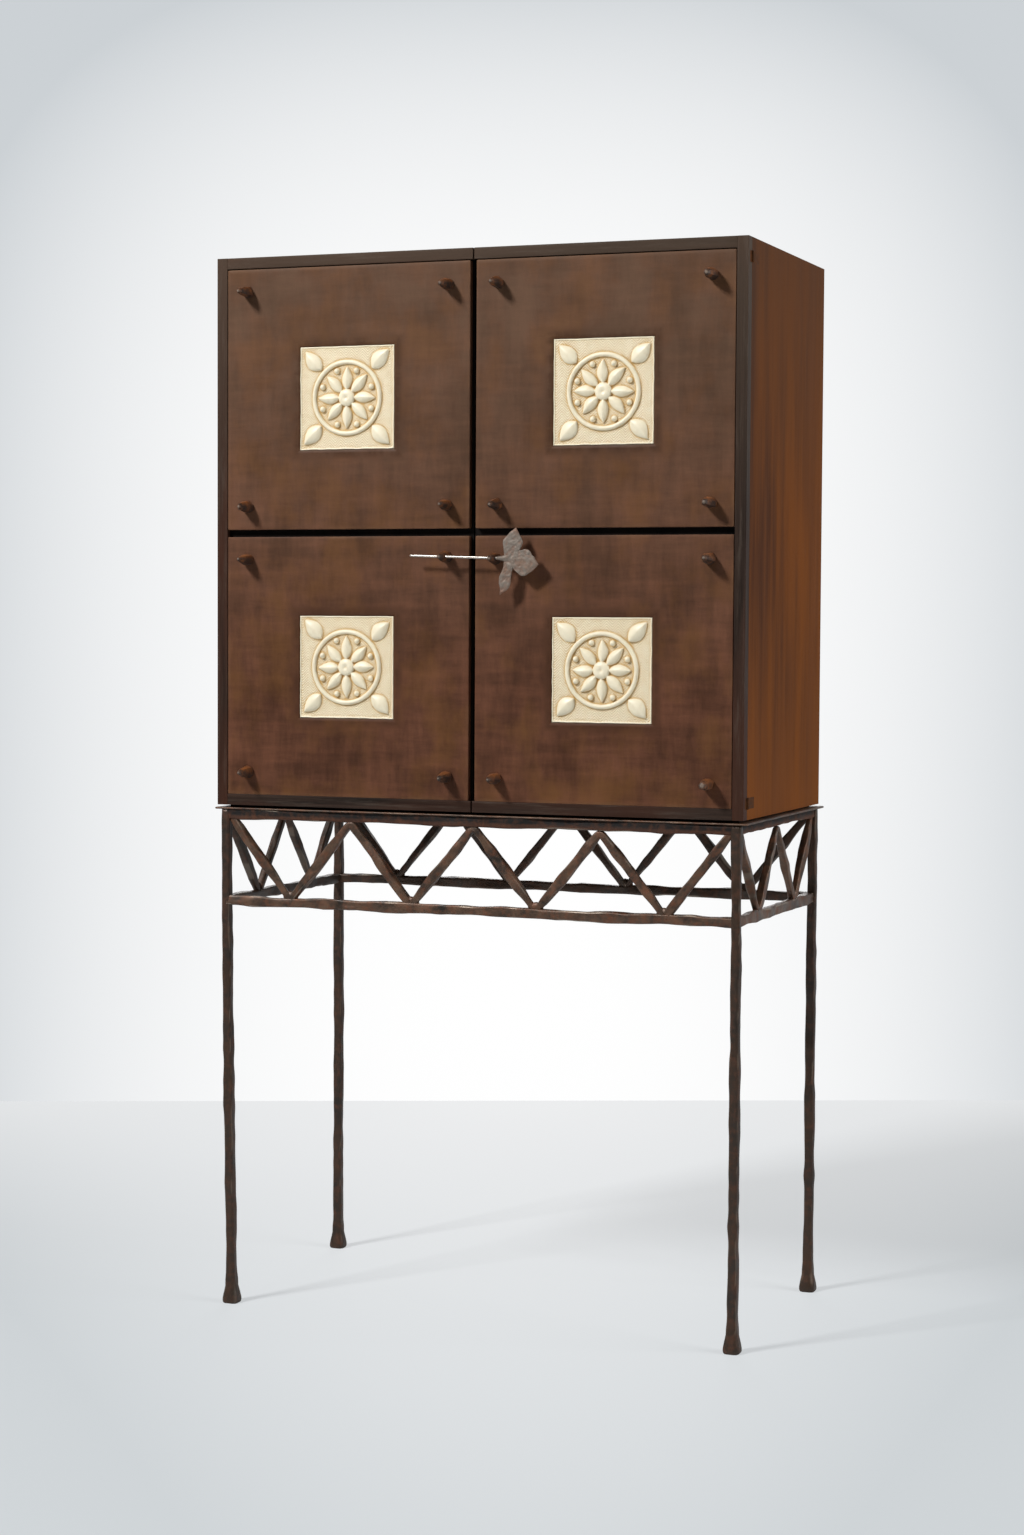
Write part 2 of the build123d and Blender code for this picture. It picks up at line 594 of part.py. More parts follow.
def tile(side, panel):
    """A square glazed tile with a rim, and a rosette in a ring with a leaf in each corner."""
    x, height = tile_middle(side, panel)
    thickness = TILE_RECESS + TILE_PROUD
    body = Box(TILE_SIZE, TILE_SIZE, thickness, align=BASE_ALIGN)
    field = TILE_SIZE - 2 * TILE_RIM
    ground = thickness - TILE_FIELD_SINK
    body -= Pos(0, 0, ground) * Box(field, field, thickness, align=BASE_ALIGN)
    ring = Pos(0, 0, ground) * Torus(ROSETTE_RING_RADIUS, ROSETTE_RING_SECTION)
    above = Pos(0, 0, ground) * Box(TILE_SIZE, TILE_SIZE, thickness, align=BASE_ALIGN)
    body += ring & above
    boss = Pos(0, 0, ground) * Sphere(ROSETTE_BOSS_RADIUS)
    boss_height = PETAL_HEIGHT + TILE_FIELD_SINK
    body += boss & Pos(0, 0, ground) * Box(TILE_SIZE, TILE_SIZE, boss_height, align=BASE_ALIGN)
    root = ROSETTE_BOSS_RADIUS - TILE_FIELD_SINK
    rosette_petal = Pos(root, 0, ground) * petal(PETAL_LENGTH, PETAL_WIDTH, PETAL_HEIGHT)
    for index in range(ROSETTE_PETALS):
        body += Rot(0, 0, index * 360 / ROSETTE_PETALS) * rosette_petal
    corner_root = ROSETTE_RING_RADIUS + 2 * ROSETTE_RING_SECTION
    corner = Pos(corner_root, 0, ground) * petal(CORNER_LEAF_LENGTH, CORNER_LEAF_WIDTH, PETAL_HEIGHT)
    for index in range(4):
        body += Rot(0, 0, 45 + index * 90) * corner
    stand_up = Plane((x, DOOR_FACE + TILE_RECESS, height), x_dir=(1, 0, 0), z_dir=(0, -1, 0))
    return stand_up * body


def make_door(name, side):
    """One door: its board, lippings, two panels, two tiles and eight pegs."""
    make_lippings(name, side)
    pegs = []
    board = block(
        across(side, DOOR_MEETING_GAP / 2, STILE_INSIDE),
        (DOOR_FACE + PANEL_THICKNESS, DOOR_BACK),
        (CABINET_BASE + LIPPING_WIDTH, CABINET_TOP - LIPPING_WIDTH),
    )
    for panel in PANELS:
        save(f"{name}_{panel}_panel", door_panel(side, panel))
        save(f"{name}_{panel}_tile", tile(side, panel))
        places = peg_places(side, panel)
        board -= [shank(*place, HOLE_CLEARANCE) for place in places]
        pegs += [peg(*place) for place, is_eye in places.items() if not is_eye]
    save(f"{name}_door_board", board)
    save(f"{name}_pegs", *pegs)


# ---- stand --------------------------------------------------------------------------
def rounded_square(x, y, z, size, corner):
    return Pos(x, y, z) * RectangleRounded(size, size, corner)


def leg(x, y, foot_shift=0):
    """A forged bar, plumb down to the lower rail, that may lean below it to a spread foot."""
    knee = LOWER_RAIL[0]
    foot_x = x + foot_shift
    ankle_x = x + foot_shift * (knee - FOOT_HEIGHT) / knee
    sections = [
        rounded_square(foot_x, y, 0, FOOT_SOLE, FOOT_SOLE_CORNER),
        rounded_square(foot_x, y, FOOT_HEEL, FOOT_SIZE, FOOT_CORNER),
        rounded_square(ankle_x, y, FOOT_HEIGHT, LEG_SIZE, LEG_CORNER),
        rounded_square(x, y, knee, LEG_SIZE, LEG_CORNER),
        rounded_square(x, y, PLATE_BOTTOM, LEG_SIZE, LEG_CORNER),
    ]
    return loft(sections, ruled=True)


def strut(start, end, low, high, depth):
    """A flat-sided strut in the XZ plane, cut level at both rails and plumb at both nodes."""
    run = end - start
    rise = high - low
    length = 2 * hypot(run, rise)
    lean = degrees(atan2(rise, run))
    middle = Pos((start + end) / 2, depth, (low + high) / 2)
    long_bar = middle * Rot(0, -lean, 0) * Box(length, STRUT_SIZE, STRUT_SIZE)
    bounds = block(sorted((start, end)), (depth - STRUT_SIZE, depth + STRUT_SIZE), (low, high))
    return long_bar & bounds


def truss(half_span, pairs):
    """The zigzag of struts between two rails, in the XZ plane about x = 0, at y = 0."""
    low = LOWER_RAIL[1]
    high = UPPER_RAIL[0]
    pitch = 2 * half_span / pairs
    struts = []
    for index in range(pairs):
        left = -half_span + index * pitch
        middle = left + pitch / 2
        struts.append(strut(middle, left, low, high, 0))
        struts.append(strut(middle, left + pitch, low, high, 0))
    return struts


def make_stand():
    """Plate, plinth, legs, rails and struts."""
    plate_back = DOOR_FACE + PLATE_DEPTH
    plate = block(
        (-PLATE_WIDTH / 2, PLATE_WIDTH / 2), (DOOR_FACE, plate_back), (PLATE_BOTTOM, PLATE_TOP)
    )
    reach = HALF_WIDTH - PLINTH_INSET
    plinth = block(
        (-reach, reach),
        (CARCASS_FRONT + PLINTH_FRONT_INSET, CARCASS_BACK - PLINTH_INSET),
        (PLATE_TOP, CABINET_BASE),
    )
    holes = [plate_screw(place, HOLE_CLEARANCE) for place in plate_screw_places()]
    save("stand_plate", plate - holes)
    save("plinth_board", plinth - holes)
    heads = []
    for place in plate_screw_places():
        under = (*place, PLATE_BOTTOM)
        head = bar(under, (0, 0, -1), PLATE_SCREW_HEAD_RADIUS, PLATE_SCREW_HEAD)
        heads.append(head + plate_screw(place))
    save("plate_screws", *heads)

    save("front_left_leg", leg(-LEG_X, LEG_FRONT_Y, FRONT_LEFT_FOOT_SHIFT))
    save("front_right_leg", leg(LEG_X, LEG_FRONT_Y))
    save("back_left_leg", leg(-LEG_X, LEG_BACK_Y))
    save("back_right_leg", leg(LEG_X, LEG_BACK_Y))

    half_x = LEG_X - LEG_SIZE / 2
    middle_y = (LEG_FRONT_Y + LEG_BACK_Y) / 2
    half_y = LEG_BACK_Y - middle_y - LEG_SIZE / 2
    half_rail = RAIL_SIZE / 2
    for name, y in (("front", LEG_FRONT_Y), ("back", LEG_BACK_Y)):
        for level, heights in (("upper", UPPER_RAIL), ("lower", LOWER_RAIL)):
            rail = block((-half_x, half_x), (y - half_rail, y + half_rail), heights)
            save(f"{name}_{level}_rail", rail)
        save(f"{name}_struts", *[Pos(0, y, 0) * piece for piece in truss(half_x, FRONT_STRUT_PAIRS)])
    for name, side in SIDES.items():
        x = side * LEG_X
        for level, heights in (("upper", UPPER_RAIL), ("lower", LOWER_RAIL)):
            limits = (middle_y - half_y, middle_y + half_y)
            save(f"{name}_{level}_rail", block((x - half_rail, x + half_rail), limits, heights))
        turned = [Pos(x, middle_y, 0) * Rot(0, 0, 90) * piece for piece in truss(half_y, SIDE_STRUT_PAIRS)]
        save(f"{name}_struts", *turned)


# ---- the whole piece ----------------------------------------------------------------
def main():
    os.makedirs("parts", exist_ok=True)
    make_carcass()
    make_hinges()
    for name, side in SIDES.items():
        make_door(name, side)
    right_eye_x = PEG_NEAR
    save("left_eye_peg", left_eye_peg())
    save("right_eye_peg", peg(right_eye_x, rod_height(right_eye_x), EYE_TIP_RADIUS) - eye_bore())
    make_lock_pin()
    make_stand()


main()
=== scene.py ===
"""Two-door cabinet with ivory tiles and iron pegs, on a stand forged by hand.

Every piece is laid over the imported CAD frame, in metres, with +Z up and -Y at the doors' side.
"""
import json
import math
from functools import partial

import bmesh
import bpy
import numpy as np
from bpy.props import FloatProperty, FloatVectorProperty, PointerProperty
from mathutils import Matrix, Vector


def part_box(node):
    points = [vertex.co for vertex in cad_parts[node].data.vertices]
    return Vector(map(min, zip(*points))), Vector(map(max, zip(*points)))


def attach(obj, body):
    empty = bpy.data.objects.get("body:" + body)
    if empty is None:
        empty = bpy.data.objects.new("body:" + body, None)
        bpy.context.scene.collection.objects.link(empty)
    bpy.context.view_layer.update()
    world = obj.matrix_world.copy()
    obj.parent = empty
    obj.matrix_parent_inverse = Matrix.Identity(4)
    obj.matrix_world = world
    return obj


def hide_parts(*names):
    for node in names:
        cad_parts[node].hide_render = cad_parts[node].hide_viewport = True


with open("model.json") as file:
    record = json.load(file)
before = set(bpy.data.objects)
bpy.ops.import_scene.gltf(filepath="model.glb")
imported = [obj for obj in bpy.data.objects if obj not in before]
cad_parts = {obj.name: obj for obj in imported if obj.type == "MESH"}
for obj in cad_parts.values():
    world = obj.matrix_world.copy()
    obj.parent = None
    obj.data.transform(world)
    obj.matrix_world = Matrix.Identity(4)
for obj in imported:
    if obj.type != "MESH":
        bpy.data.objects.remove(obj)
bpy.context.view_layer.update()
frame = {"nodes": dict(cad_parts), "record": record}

bl_info = {
    "name": "Cabinet on a forged stand",
    "version": (1, 0, 0),
    "blender": (4, 5, 0),
    "location": "View3D > Sidebar > Cabinet",
    "description": "Dresses a two-door cabinet and its forged stand with wood, tiles and iron",
    "category": "Object",
}

MM = 0.001
TURN = 2 * math.pi
DOORS = {"left": -1, "right": 1}
LEVELS = ("lower", "upper")


# ---- numbers and colours ------------------------------------------------------------
def linear(hex_colour):
    """sRGB hex to linear RGBA: c / 12.92 up to 0.04045, ((c + 0.055) / 1.055) ** 2.4 above."""
    channels = np.array([int(hex_colour[i : i + 2], 16) for i in (1, 3, 5)]) / 255
    curve = ((channels + 0.055) / 1.055) ** 2.4
    return (*np.where(channels <= 0.04045, channels / 12.92, curve).tolist(), 1.0)


def column(values):
    """Values as one column, to be carried round every loop."""
    return np.asarray(values, float).reshape(-1, 1)


def join(*runs):
    return np.concatenate(runs)


def grid_of(x, y, z):
    """A grid of points from three arrays that spread to the same rows and columns."""
    return np.stack(np.broadcast_arrays(x, y, z), axis=-1)


def smooth(share):
    """The smooth step f * f * (3 - 2 f) of a share clipped to 0..1."""
    f = np.clip(share, 0, 1)
    return f * f * (3 - 2 * f)


def ripple(distance, pitch, seed):
    """A smooth random wave in -1..1: random heights every pitch, joined by the smooth step."""
    place = np.asarray(distance) / pitch
    heights = np.random.default_rng(seed).uniform(-1, 1, int(place.max()) + 3)
    low = np.floor(place).astype(int)
    share = smooth(place - low)
    return heights[low] * (1 - share) + heights[low + 1] * share


def dents(u, v, seed, around=0):
    """A smooth random field in -1..1 on a lattice: random heights at whole u and v, joined both
    ways by the smooth step. around is the number of columns after which u meets itself."""
    u, v = np.broadcast_arrays(u, v)
    columns = around or int(u.max()) + 3
    heights = np.random.default_rng(seed).uniform(-1, 1, (int(v.max()) + 3, columns))
    left, low = np.floor(u).astype(int), np.floor(v).astype(int)
    share_u, share_v = smooth(u - left), smooth(v - low)
    left, right = left % columns, (left + 1) % columns
    under, over = [
        heights[row, left] * (1 - share_u) + heights[row, right] * share_u for row in (low, low + 1)
    ]
    return under * (1 - share_v) + over * share_v


# ---- meshes -------------------------------------------------------------------------
STRIP_STEP, STRIP_STEPS = 20 * MM, (3, 4)


def grid_faces(rows, columns, closed, start):
    """Quads between neighbouring rows and columns of a grid, joined round its ends if closed."""
    row, place = np.meshgrid(np.arange(rows - 1), np.arange(columns - (not closed)), indexing="ij")
    after = (place + 1) % columns
    here, above = row * columns, (row + 1) * columns
    corners = here + place, here + after, above + after, above + place
    return start + np.stack(corners, axis=-1).reshape(-1, 4)


def merged(mesh, finish):
    """Merges a mesh's doubled points and finishes it."""
    skin = bmesh.new()
    skin.from_mesh(mesh)
    bmesh.ops.remove_doubles(skin, verts=skin.verts, dist=1e-6)
    finish(skin)
    skin.to_mesh(mesh)
    skin.free()


def new_piece(name, mesh):
    piece = bpy.data.objects.new(name, mesh)
    bpy.context.scene.collection.objects.link(piece)
    return piece


def skin_over(name, sheets, marks=(), closed=True, shade_smooth=True):
    """One object from sheets, each a grid of points (rows x columns x 3, in metres) and after it
    a value or an array for each mark, which a material reads at the points. Rows that shrink to a
    point, and edges that meet, are merged, so each grid becomes a closed skin facing outwards."""
    grids = [sheet[0] for sheet in sheets]
    starts = np.cumsum([0] + [grid.shape[0] * grid.shape[1] for grid in grids])
    faces = join(*[grid_faces(*grid.shape[:2], closed, start) for grid, start in zip(grids, starts)])
    mesh = bpy.data.meshes.new(name)
    mesh.from_pydata(join(*[grid.reshape(-1, 3) for grid in grids]).tolist(), [], faces.tolist())
    for index, mark in enumerate(marks, 1):
        values = [np.broadcast_to(sheet[index], sheet[0].shape[:2]).ravel() for sheet in sheets]
        layer = mesh.attributes.new(mark, "FLOAT", "POINT")
        layer.data.foreach_set("value", join(*values).astype(np.float32))
    merged(mesh, lambda skin: bmesh.ops.recalc_face_normals(skin, faces=skin.faces))
    mesh.polygons.foreach_set("use_smooth", [shade_smooth] * len(mesh.polygons))
    return new_piece(name, mesh)


def loop_template(corner_steps, side_steps):
    """A rounded rectangle walked once: where its corner circles' centres are, in half sides,
    and the outward direction. A point is (centre * (half - radius) + direction * radius)."""
    centre_x, centre_y, angle = [], [], []
    along = np.linspace(0, 1, side_steps + 1)[1:-1]
    for quarter in range(4):
        start = math.radians(45 + 90 * quarter)
        here = (math.copysign(1, math.cos(start)), math.copysign(1, math.sin(start)))
        turn = np.radians(90 * quarter + np.linspace(0, 90, corner_steps + 1))
        centre_x += [here[0]] * len(turn) + (here[0] - (here[1] + here[0]) * along).tolist()
        centre_y += [here[1]] * len(turn) + (here[1] + (here[0] - here[1]) * along).tolist()
        angle += turn.tolist() + [turn[-1]] * len(along)
    return np.array(centre_x), np.array(centre_y), np.cos(angle), np.sin(angle)


def rounded_loops(steps, half_x, half_y, radius, swell=0):
    """x and y of rounded rectangles, with steps in each corner and along each side. The half
    sizes and the radius may be columns, for one rectangle in each row. swell moves the points
    out by so much more, and leaves the corners' centres where they are."""
    centre_x, centre_y, out_x, out_y = loop_template(*steps)
    out = radius + swell
    return centre_x * (half_x - radius) + out_x * out, centre_y * (half_y - radius) + out_y * out


def ends_closed(rows):
    """A column of 1, with 0 in the first and the last row, which shrinks those to a point."""
    return column(np.pad(np.ones(rows - 2), 1))


def eased_strip(low, high, ease):
    """A strip along x with rounded edges: a rounded rectangle carried along it, drawn in by the
    quarter circle at both ends, and closed at a point in the middle of each end."""
    turn = np.linspace(0, math.pi / 2, 4)
    inset, reach = ease * (1 - np.sin(turn)), ease * (1 - np.cos(turn))
    run = np.linspace(low.x + ease, high.x - ease, max(2, int((high.x - low.x) / STRIP_STEP)))[1:-1]
    along = join([low.x], low.x + reach, run, high.x - reach[::-1], [high.x])
    inset = column(join([0], inset, 0 * run, inset[::-1], [0]))
    half, middle = (high - low) / 2, (low + high) / 2
    radius = np.maximum(ease - inset, 1e-5)
    y, z = rounded_loops(STRIP_STEPS, half.y - inset, half.z - inset, radius)
    keep = ends_closed(len(along))
    return grid_of(column(along), middle.y + y * keep, middle.z + z * keep)


def eased_copy(node, width):
    """A CAD board with its sharp edges rounded: its triangles merged to whole faces, then bevelled."""
    piece = new_piece(node + "_eased", frame["nodes"][node].data.copy())
    flat = math.radians(1)
    merged(
        piece.data,
        lambda skin: bmesh.ops.dissolve_limit(skin, angle_limit=flat, verts=skin.verts, edges=skin.edges),
    )
    piece.data.materials.clear()
    bevel = piece.modifiers.new("eased edges", "BEVEL")
    bevel.width = width
    bevel.segments = 2
    bevel.limit_method = "ANGLE"
    bevel.angle_limit = math.radians(50)
    return piece


def install(piece, material, node):
    """Dresses a finished piece, and lays it on its body in place of its CAD node."""
    bodies = frame["record"]["behaviour"]["bodies"]
    piece.data.materials.append(material)
    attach(piece, next(body for body, members in bodies.items() if node in members))
    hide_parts(node)


def lay(node, name, sheets, material, slot, marks=(), **how):
    """Makes one piece from sheets, and installs it in place of its CAD node."""
    install(skin_over(name, sheets, marks, **how), material, node)


def dress(material, *nodes):
    """Gives CAD nodes that keep their own shape a worked material."""
    for node in nodes:
        slots = frame["nodes"][node].data.materials
        slots.clear()
        slots.append(material)


# ---- materials ----------------------------------------------------------------------
def add_node(tree, kind, *values, out=None, **named):
    """Adds a shader node and returns its output, the first in use unless out names another.
    values go into its sockets in use in their order; a name that the node has is its property,
    and any other name is a socket, with _ for a space. Sockets of other nodes are linked."""
    node = tree.nodes.new("ShaderNode" + kind)
    for name in [name for name in named if hasattr(node, name)]:
        setattr(node, name, named.pop(name))
    places = [socket for socket in node.inputs if socket.enabled][: len(values)]
    places += [node.inputs[name.replace("_", " ")] for name in named]
    for socket, value in zip(places, [*values, *named.values()]):
        if isinstance(value, bpy.types.NodeSocket):
            tree.links.new(value, socket)
        else:
            socket.default_value = value
    return node.outputs[out] if out else next((socket for socket in node.outputs if socket.enabled), None)


def new_material(name):
    """A material, the function that adds to its empty tree, and its Object coordinates."""
    material = bpy.data.materials.new(name)
    material.use_nodes = True
    material.node_tree.nodes.clear()
    add = partial(add_node, material.node_tree)
    return material, add, add("TexCoord", out="Object")


def tinted(add, colour, layers):
    """A colour with tints laid over it one after another, each by its share."""
    for share, tint in layers:
        colour = add("Mix", share, colour, tint, data_type="RGBA")
    return colour


def coat(add, colour, rough, height, strength, distance, **settings):
    """The end of every material: its relief, its surface and its output."""
    relief = add("Bump", Height=height, Strength=strength, Distance=distance)
    surface = add("BsdfPrincipled", Base_Color=colour, Roughness=rough, Normal=relief, **settings)
    add("OutputMaterial", surface)


def board_material(name, tones, grain, gloss, bloom_and_painted_sheen=None, smear=None, painted_bounce_and_rear_warmth=None):
    """Wood, sawn, stained and waxed: a soft sheen over grain in three tones, dark, middle and
    warm. The grain runs along the axis with the small number in grain. Its threads are drawn 3 mm
    wide, three times as coarse as the real ones, so that they show; its figure is 14 mm and its
    broad tone 60 mm wide. The first of the three optional colours is a painted sheen: a paler
    tone near the top of the cabinet, standing in for the gloss of the light from above. The
    second is that of rubbed places. The third is painted warm light bounced up from the floor,
    brighter towards the foot, and the same warmer tone towards the back edge."""
    material, add, place = new_material(name)
    dark, mid, warm = tones
    thread = add("Mapping", place, Scale=[330 * g for g in grain])
    thread = add("TexNoise", thread, Scale=1, Detail=4, Roughness=0.6)
    figure = add("Mapping", place, Scale=[70 * g**0.8 for g in grain])
    figure = add("TexNoise", figure, Scale=1, Detail=4, Distortion=0.3)
    broad = add("Mapping", place, Scale=[16 * g**0.5 for g in grain])
    broad = add("TexNoise", broad, Scale=1, Detail=3)
    tone = add("MapRange", add("Math", thread, 0.7, figure, operation="MULTIPLY_ADD"), 0.64, 1.06)
    layers = [(tone, mid), (add("MapRange", broad, 0.44, 0.64, 0, 0.85), warm)]
    height = add("SeparateXYZ", place, out="Z")
    # Painted warm light bounced up from the floor, strongest at the foot, and the same warmer tone towards
    # the back edge.
    if painted_bounce_and_rear_warmth:
        low = add("MapRange", height, 1.15, 0.8, 0, 0.55)
        rear = add("MapRange", add("SeparateXYZ", place, out="Y"), -0.12, 0.2, 0, 0.5)
        layers.append((add("Math", low, rear, operation="MAXIMUM"), painted_bounce_and_rear_warmth))
    # Painted sheen: paler towards the top of the cabinet, for the gloss of the light from above.
    if bloom_and_painted_sheen:
        layers.append((add("MapRange", height, 1.2, 1.62, 0, 0.6), bloom_and_painted_sheen))
    if smear:
        rubbed = add("Mapping", place, (2.3, 4.1, 1.9), Scale=[150 * g**0.7 for g in grain])
        rubbed = add("TexNoise", rubbed, Scale=1, Detail=6, Roughness=0.7)
        layers.append((add("MapRange", rubbed, 0.52, 0.75, 0, 0.4), smear))
    rough = add("MapRange", broad, 0, 1, gloss - 0.1, gloss + 0.1)
    coat(add, tinted(add, dark, layers), rough, tone, 0.3, 0.4 * MM, Specular_IOR_Level=0.06)
    return material


def panel_material(wood):
    """Walnut veneer, stained dark, glazed with a coarse brush both ways and waxed: a cloudy,
    hatched brown with little shine. Its strokes are 17 mm wide and finer, and five times as long,
    its clouds and warm patches 70 mm across. Towards the top of the cabinet the brown is painted
    paler, a painted sheen for the light from above. One mark darkens a ring round the tile, and
    the mark rub lightens the edge where the glaze is rubbed thin."""
    material, add, place = new_material("brushed_dark_walnut_veneer")
    upright = add("TexNoise", add("Mapping", place, Scale=(46, 46, 9)), Scale=1, Detail=7, Roughness=0.72)
    level = add("TexNoise", add("Mapping", place, Scale=(8, 50, 50)), Scale=1, Detail=7, Roughness=0.72)
    hatch = add("Math", upright, level, operation="ADD")
    cloud = add("TexNoise", add("Mapping", place, Scale=(14, 14, 10)), Scale=1, Detail=3)
    patch = add("Mapping", place, (3.1, 1.7, 5.3), Scale=(15, 15, 11))
    patch = add("TexNoise", patch, Scale=1, Detail=5, Roughness=0.6)
    tone = add("MapRange", add("Math", cloud, 0.9, hatch, operation="MULTIPLY_ADD"), 1.14, 1.74)
    warmth = add("MapRange", patch, 0.45, 0.68, 0, 0.85)
    # Painted sheen: the brown turns paler towards the top of the cabinet, for the light from above, broken up
    # by the patches.
    bloom_and_painted_sheen = add("MapRange", add("SeparateXYZ", place, out="Z"), 0.95, 1.5, 0, 0.85)
    clear = add("MapRange", patch, 0.4, 0.62, 1, 0.5)
    bloom_and_painted_sheen = add("Math", bloom_and_painted_sheen, clear, operation="MULTIPLY")
    layers = (tone, wood.panel_mid), (warmth, wood.panel_warm), (bloom_and_painted_sheen, wood.panel_painted_sheen)
    light = add("MapRange", tone, 0, 1, 0.86, 1.12)
    colour = add("HueSaturation", Color=tinted(add, wood.panel_dark, layers), Value=light)
    # A darker ring round the tile, broken up by the hatch.
    tile_ring_share = add("MapRange", hatch, 0.85, 1.1)
    tile_ring_share = add("Math", add("Attribute", attribute_name="tile_ring", out="Fac"), tile_ring_share, operation="MULTIPLY")
    wear_and_highlight = add("MapRange", patch, 0.4, 0.7, 0, 0.5)
    wear_and_highlight = add("Math", add("Attribute", attribute_name="rub", out="Fac"), wear_and_highlight, operation="MULTIPLY")
    colour = tinted(add, colour, ((tile_ring_share, wood.panel_tile_ring), (wear_and_highlight, wood.panel_rubbed)))
    rough = add("MapRange", cloud, 0.3, 0.7, 0.42, 0.58)
    coat(add, colour, rough, tone, 0.35, 0.4 * MM, Specular_IOR_Level=0.12)
    return material


def iron_material(name, dark, brown, rust, gloss=0.5, metallic=0.35, bare=None, shine=0.5):
    """Wrought iron, hammered hot, left to brown and waxed: a dull brown skin, half metal, with
    brown clouds 30 mm across over dark forge scale, rust blooms 13 mm across and a pitted
    surface, drawn at 2 mm so that the pits show. bare is the metal laid where the mark of wear
    and highlight is 1: worn metal on corners, and a painted highlight on the bars' tops and the
    pegs' tips. The mark of rust and light adds to the rust, and is painted light on the pegs'
    upper sides and on the upper rails below the plate's painted shadow."""
    material, add, place = new_material(name)
    cloud = add("TexNoise", place, Scale=30, Detail=5, Roughness=0.65)
    bloom_and_painted_sheen = add("TexNoise", place, Scale=75, Detail=5, Roughness=0.7)
    pits = add("TexNoise", place, Scale=420, Detail=3)
    rusty = add("MapRange", bloom_and_painted_sheen, 0.47, 0.72, 0, 0.85)
    rust_and_painted_light = add("Attribute", attribute_name="rust_and_painted_light", out="Fac")
    rusty = add("Math", rust_and_painted_light, rusty, operation="ADD", use_clamp=True)
    layers = [(add("MapRange", cloud, 0.36, 0.62), brown), (rusty, rust)]
    if bare:
        layers.append((add("Attribute", attribute_name="wear_and_highlight", out="Fac"), bare))
    rough = add("MapRange", bloom_and_painted_sheen, 0.3, 0.7, gloss - 0.1, gloss + 0.12)
    colour = tinted(add, dark, layers)
    coat(add, colour, rough, pits, 0.5, 0.5 * MM, Metallic=metallic, Specular_IOR_Level=shine)
    return material


def tile_material(glaze):
    """Modelled stoneware under an ivory satin glaze: it thins to ivory on the high forms and
    pools, honey coloured, in the tooled ground and round the leaves, where the mark depth is 1.
    The glaze is uneven every 8 mm."""
    material, add, place = new_material("ivory_glazed_stoneware")
    depth = add("Attribute", attribute_name="depth", out="Fac")
    blur = add("TexNoise", place, Scale=130, Detail=4)
    uneven = add("MapRange", blur, 0.3, 0.7, -0.12, 0.12)
    pool = add("Math", depth, uneven, operation="ADD", use_clamp=True)
    colour = tinted(add, glaze.high_colour, [(pool, glaze.pool_colour)])
    coat(add, colour, add("MapRange", pool, 0, 1, 0.4, 0.52), blur, 0.2, 0.4 * MM)
    return material


def steel_material(name, base, tint, gloss, scratch=(40, 900, 900), metallic=1.0, relief=0.1 * MM):
    """Bright steel, drawn or filed: grey, with fine lines along the piece, drawn 1 mm apart so
    that they show, a few brown stains 17 mm across, and rust where the mark of that name is 1."""
    material, add, place = new_material(name)
    lines = add("TexNoise", add("Mapping", place, Scale=scratch), Scale=1, Detail=2)
    stained = add("MapRange", add("TexNoise", place, Scale=60, Detail=4), 0.45, 0.75, 0, 0.8)
    rust = add("Attribute", attribute_name="rust", out="Fac")
    colour = tinted(add, base, ((stained, tint), (rust, linear("#7C4A30"))))
    rough = add("MapRange", lines, 0.3, 0.7, gloss - 0.06, gloss + 0.1)
    coat(add, colour, rough, lines, 0.8, relief, Metallic=metallic)
    return material


# ---- settings -----------------------------------------------------------------------
def colour(name, description, hex_colour):
    default = linear(hex_colour)
    return FloatVectorProperty(
        name=name, description=description, subtype="COLOR", size=4, min=0, max=1, default=default
    )


def length(name, description, millimetres):
    default = millimetres * MM
    return FloatProperty(
        name=name, description=description, subtype="DISTANCE", unit="LENGTH", min=0, default=default
    )


def power(name, description, watts):
    return FloatProperty(name=name, description=description, min=0, default=watts, unit="POWER")


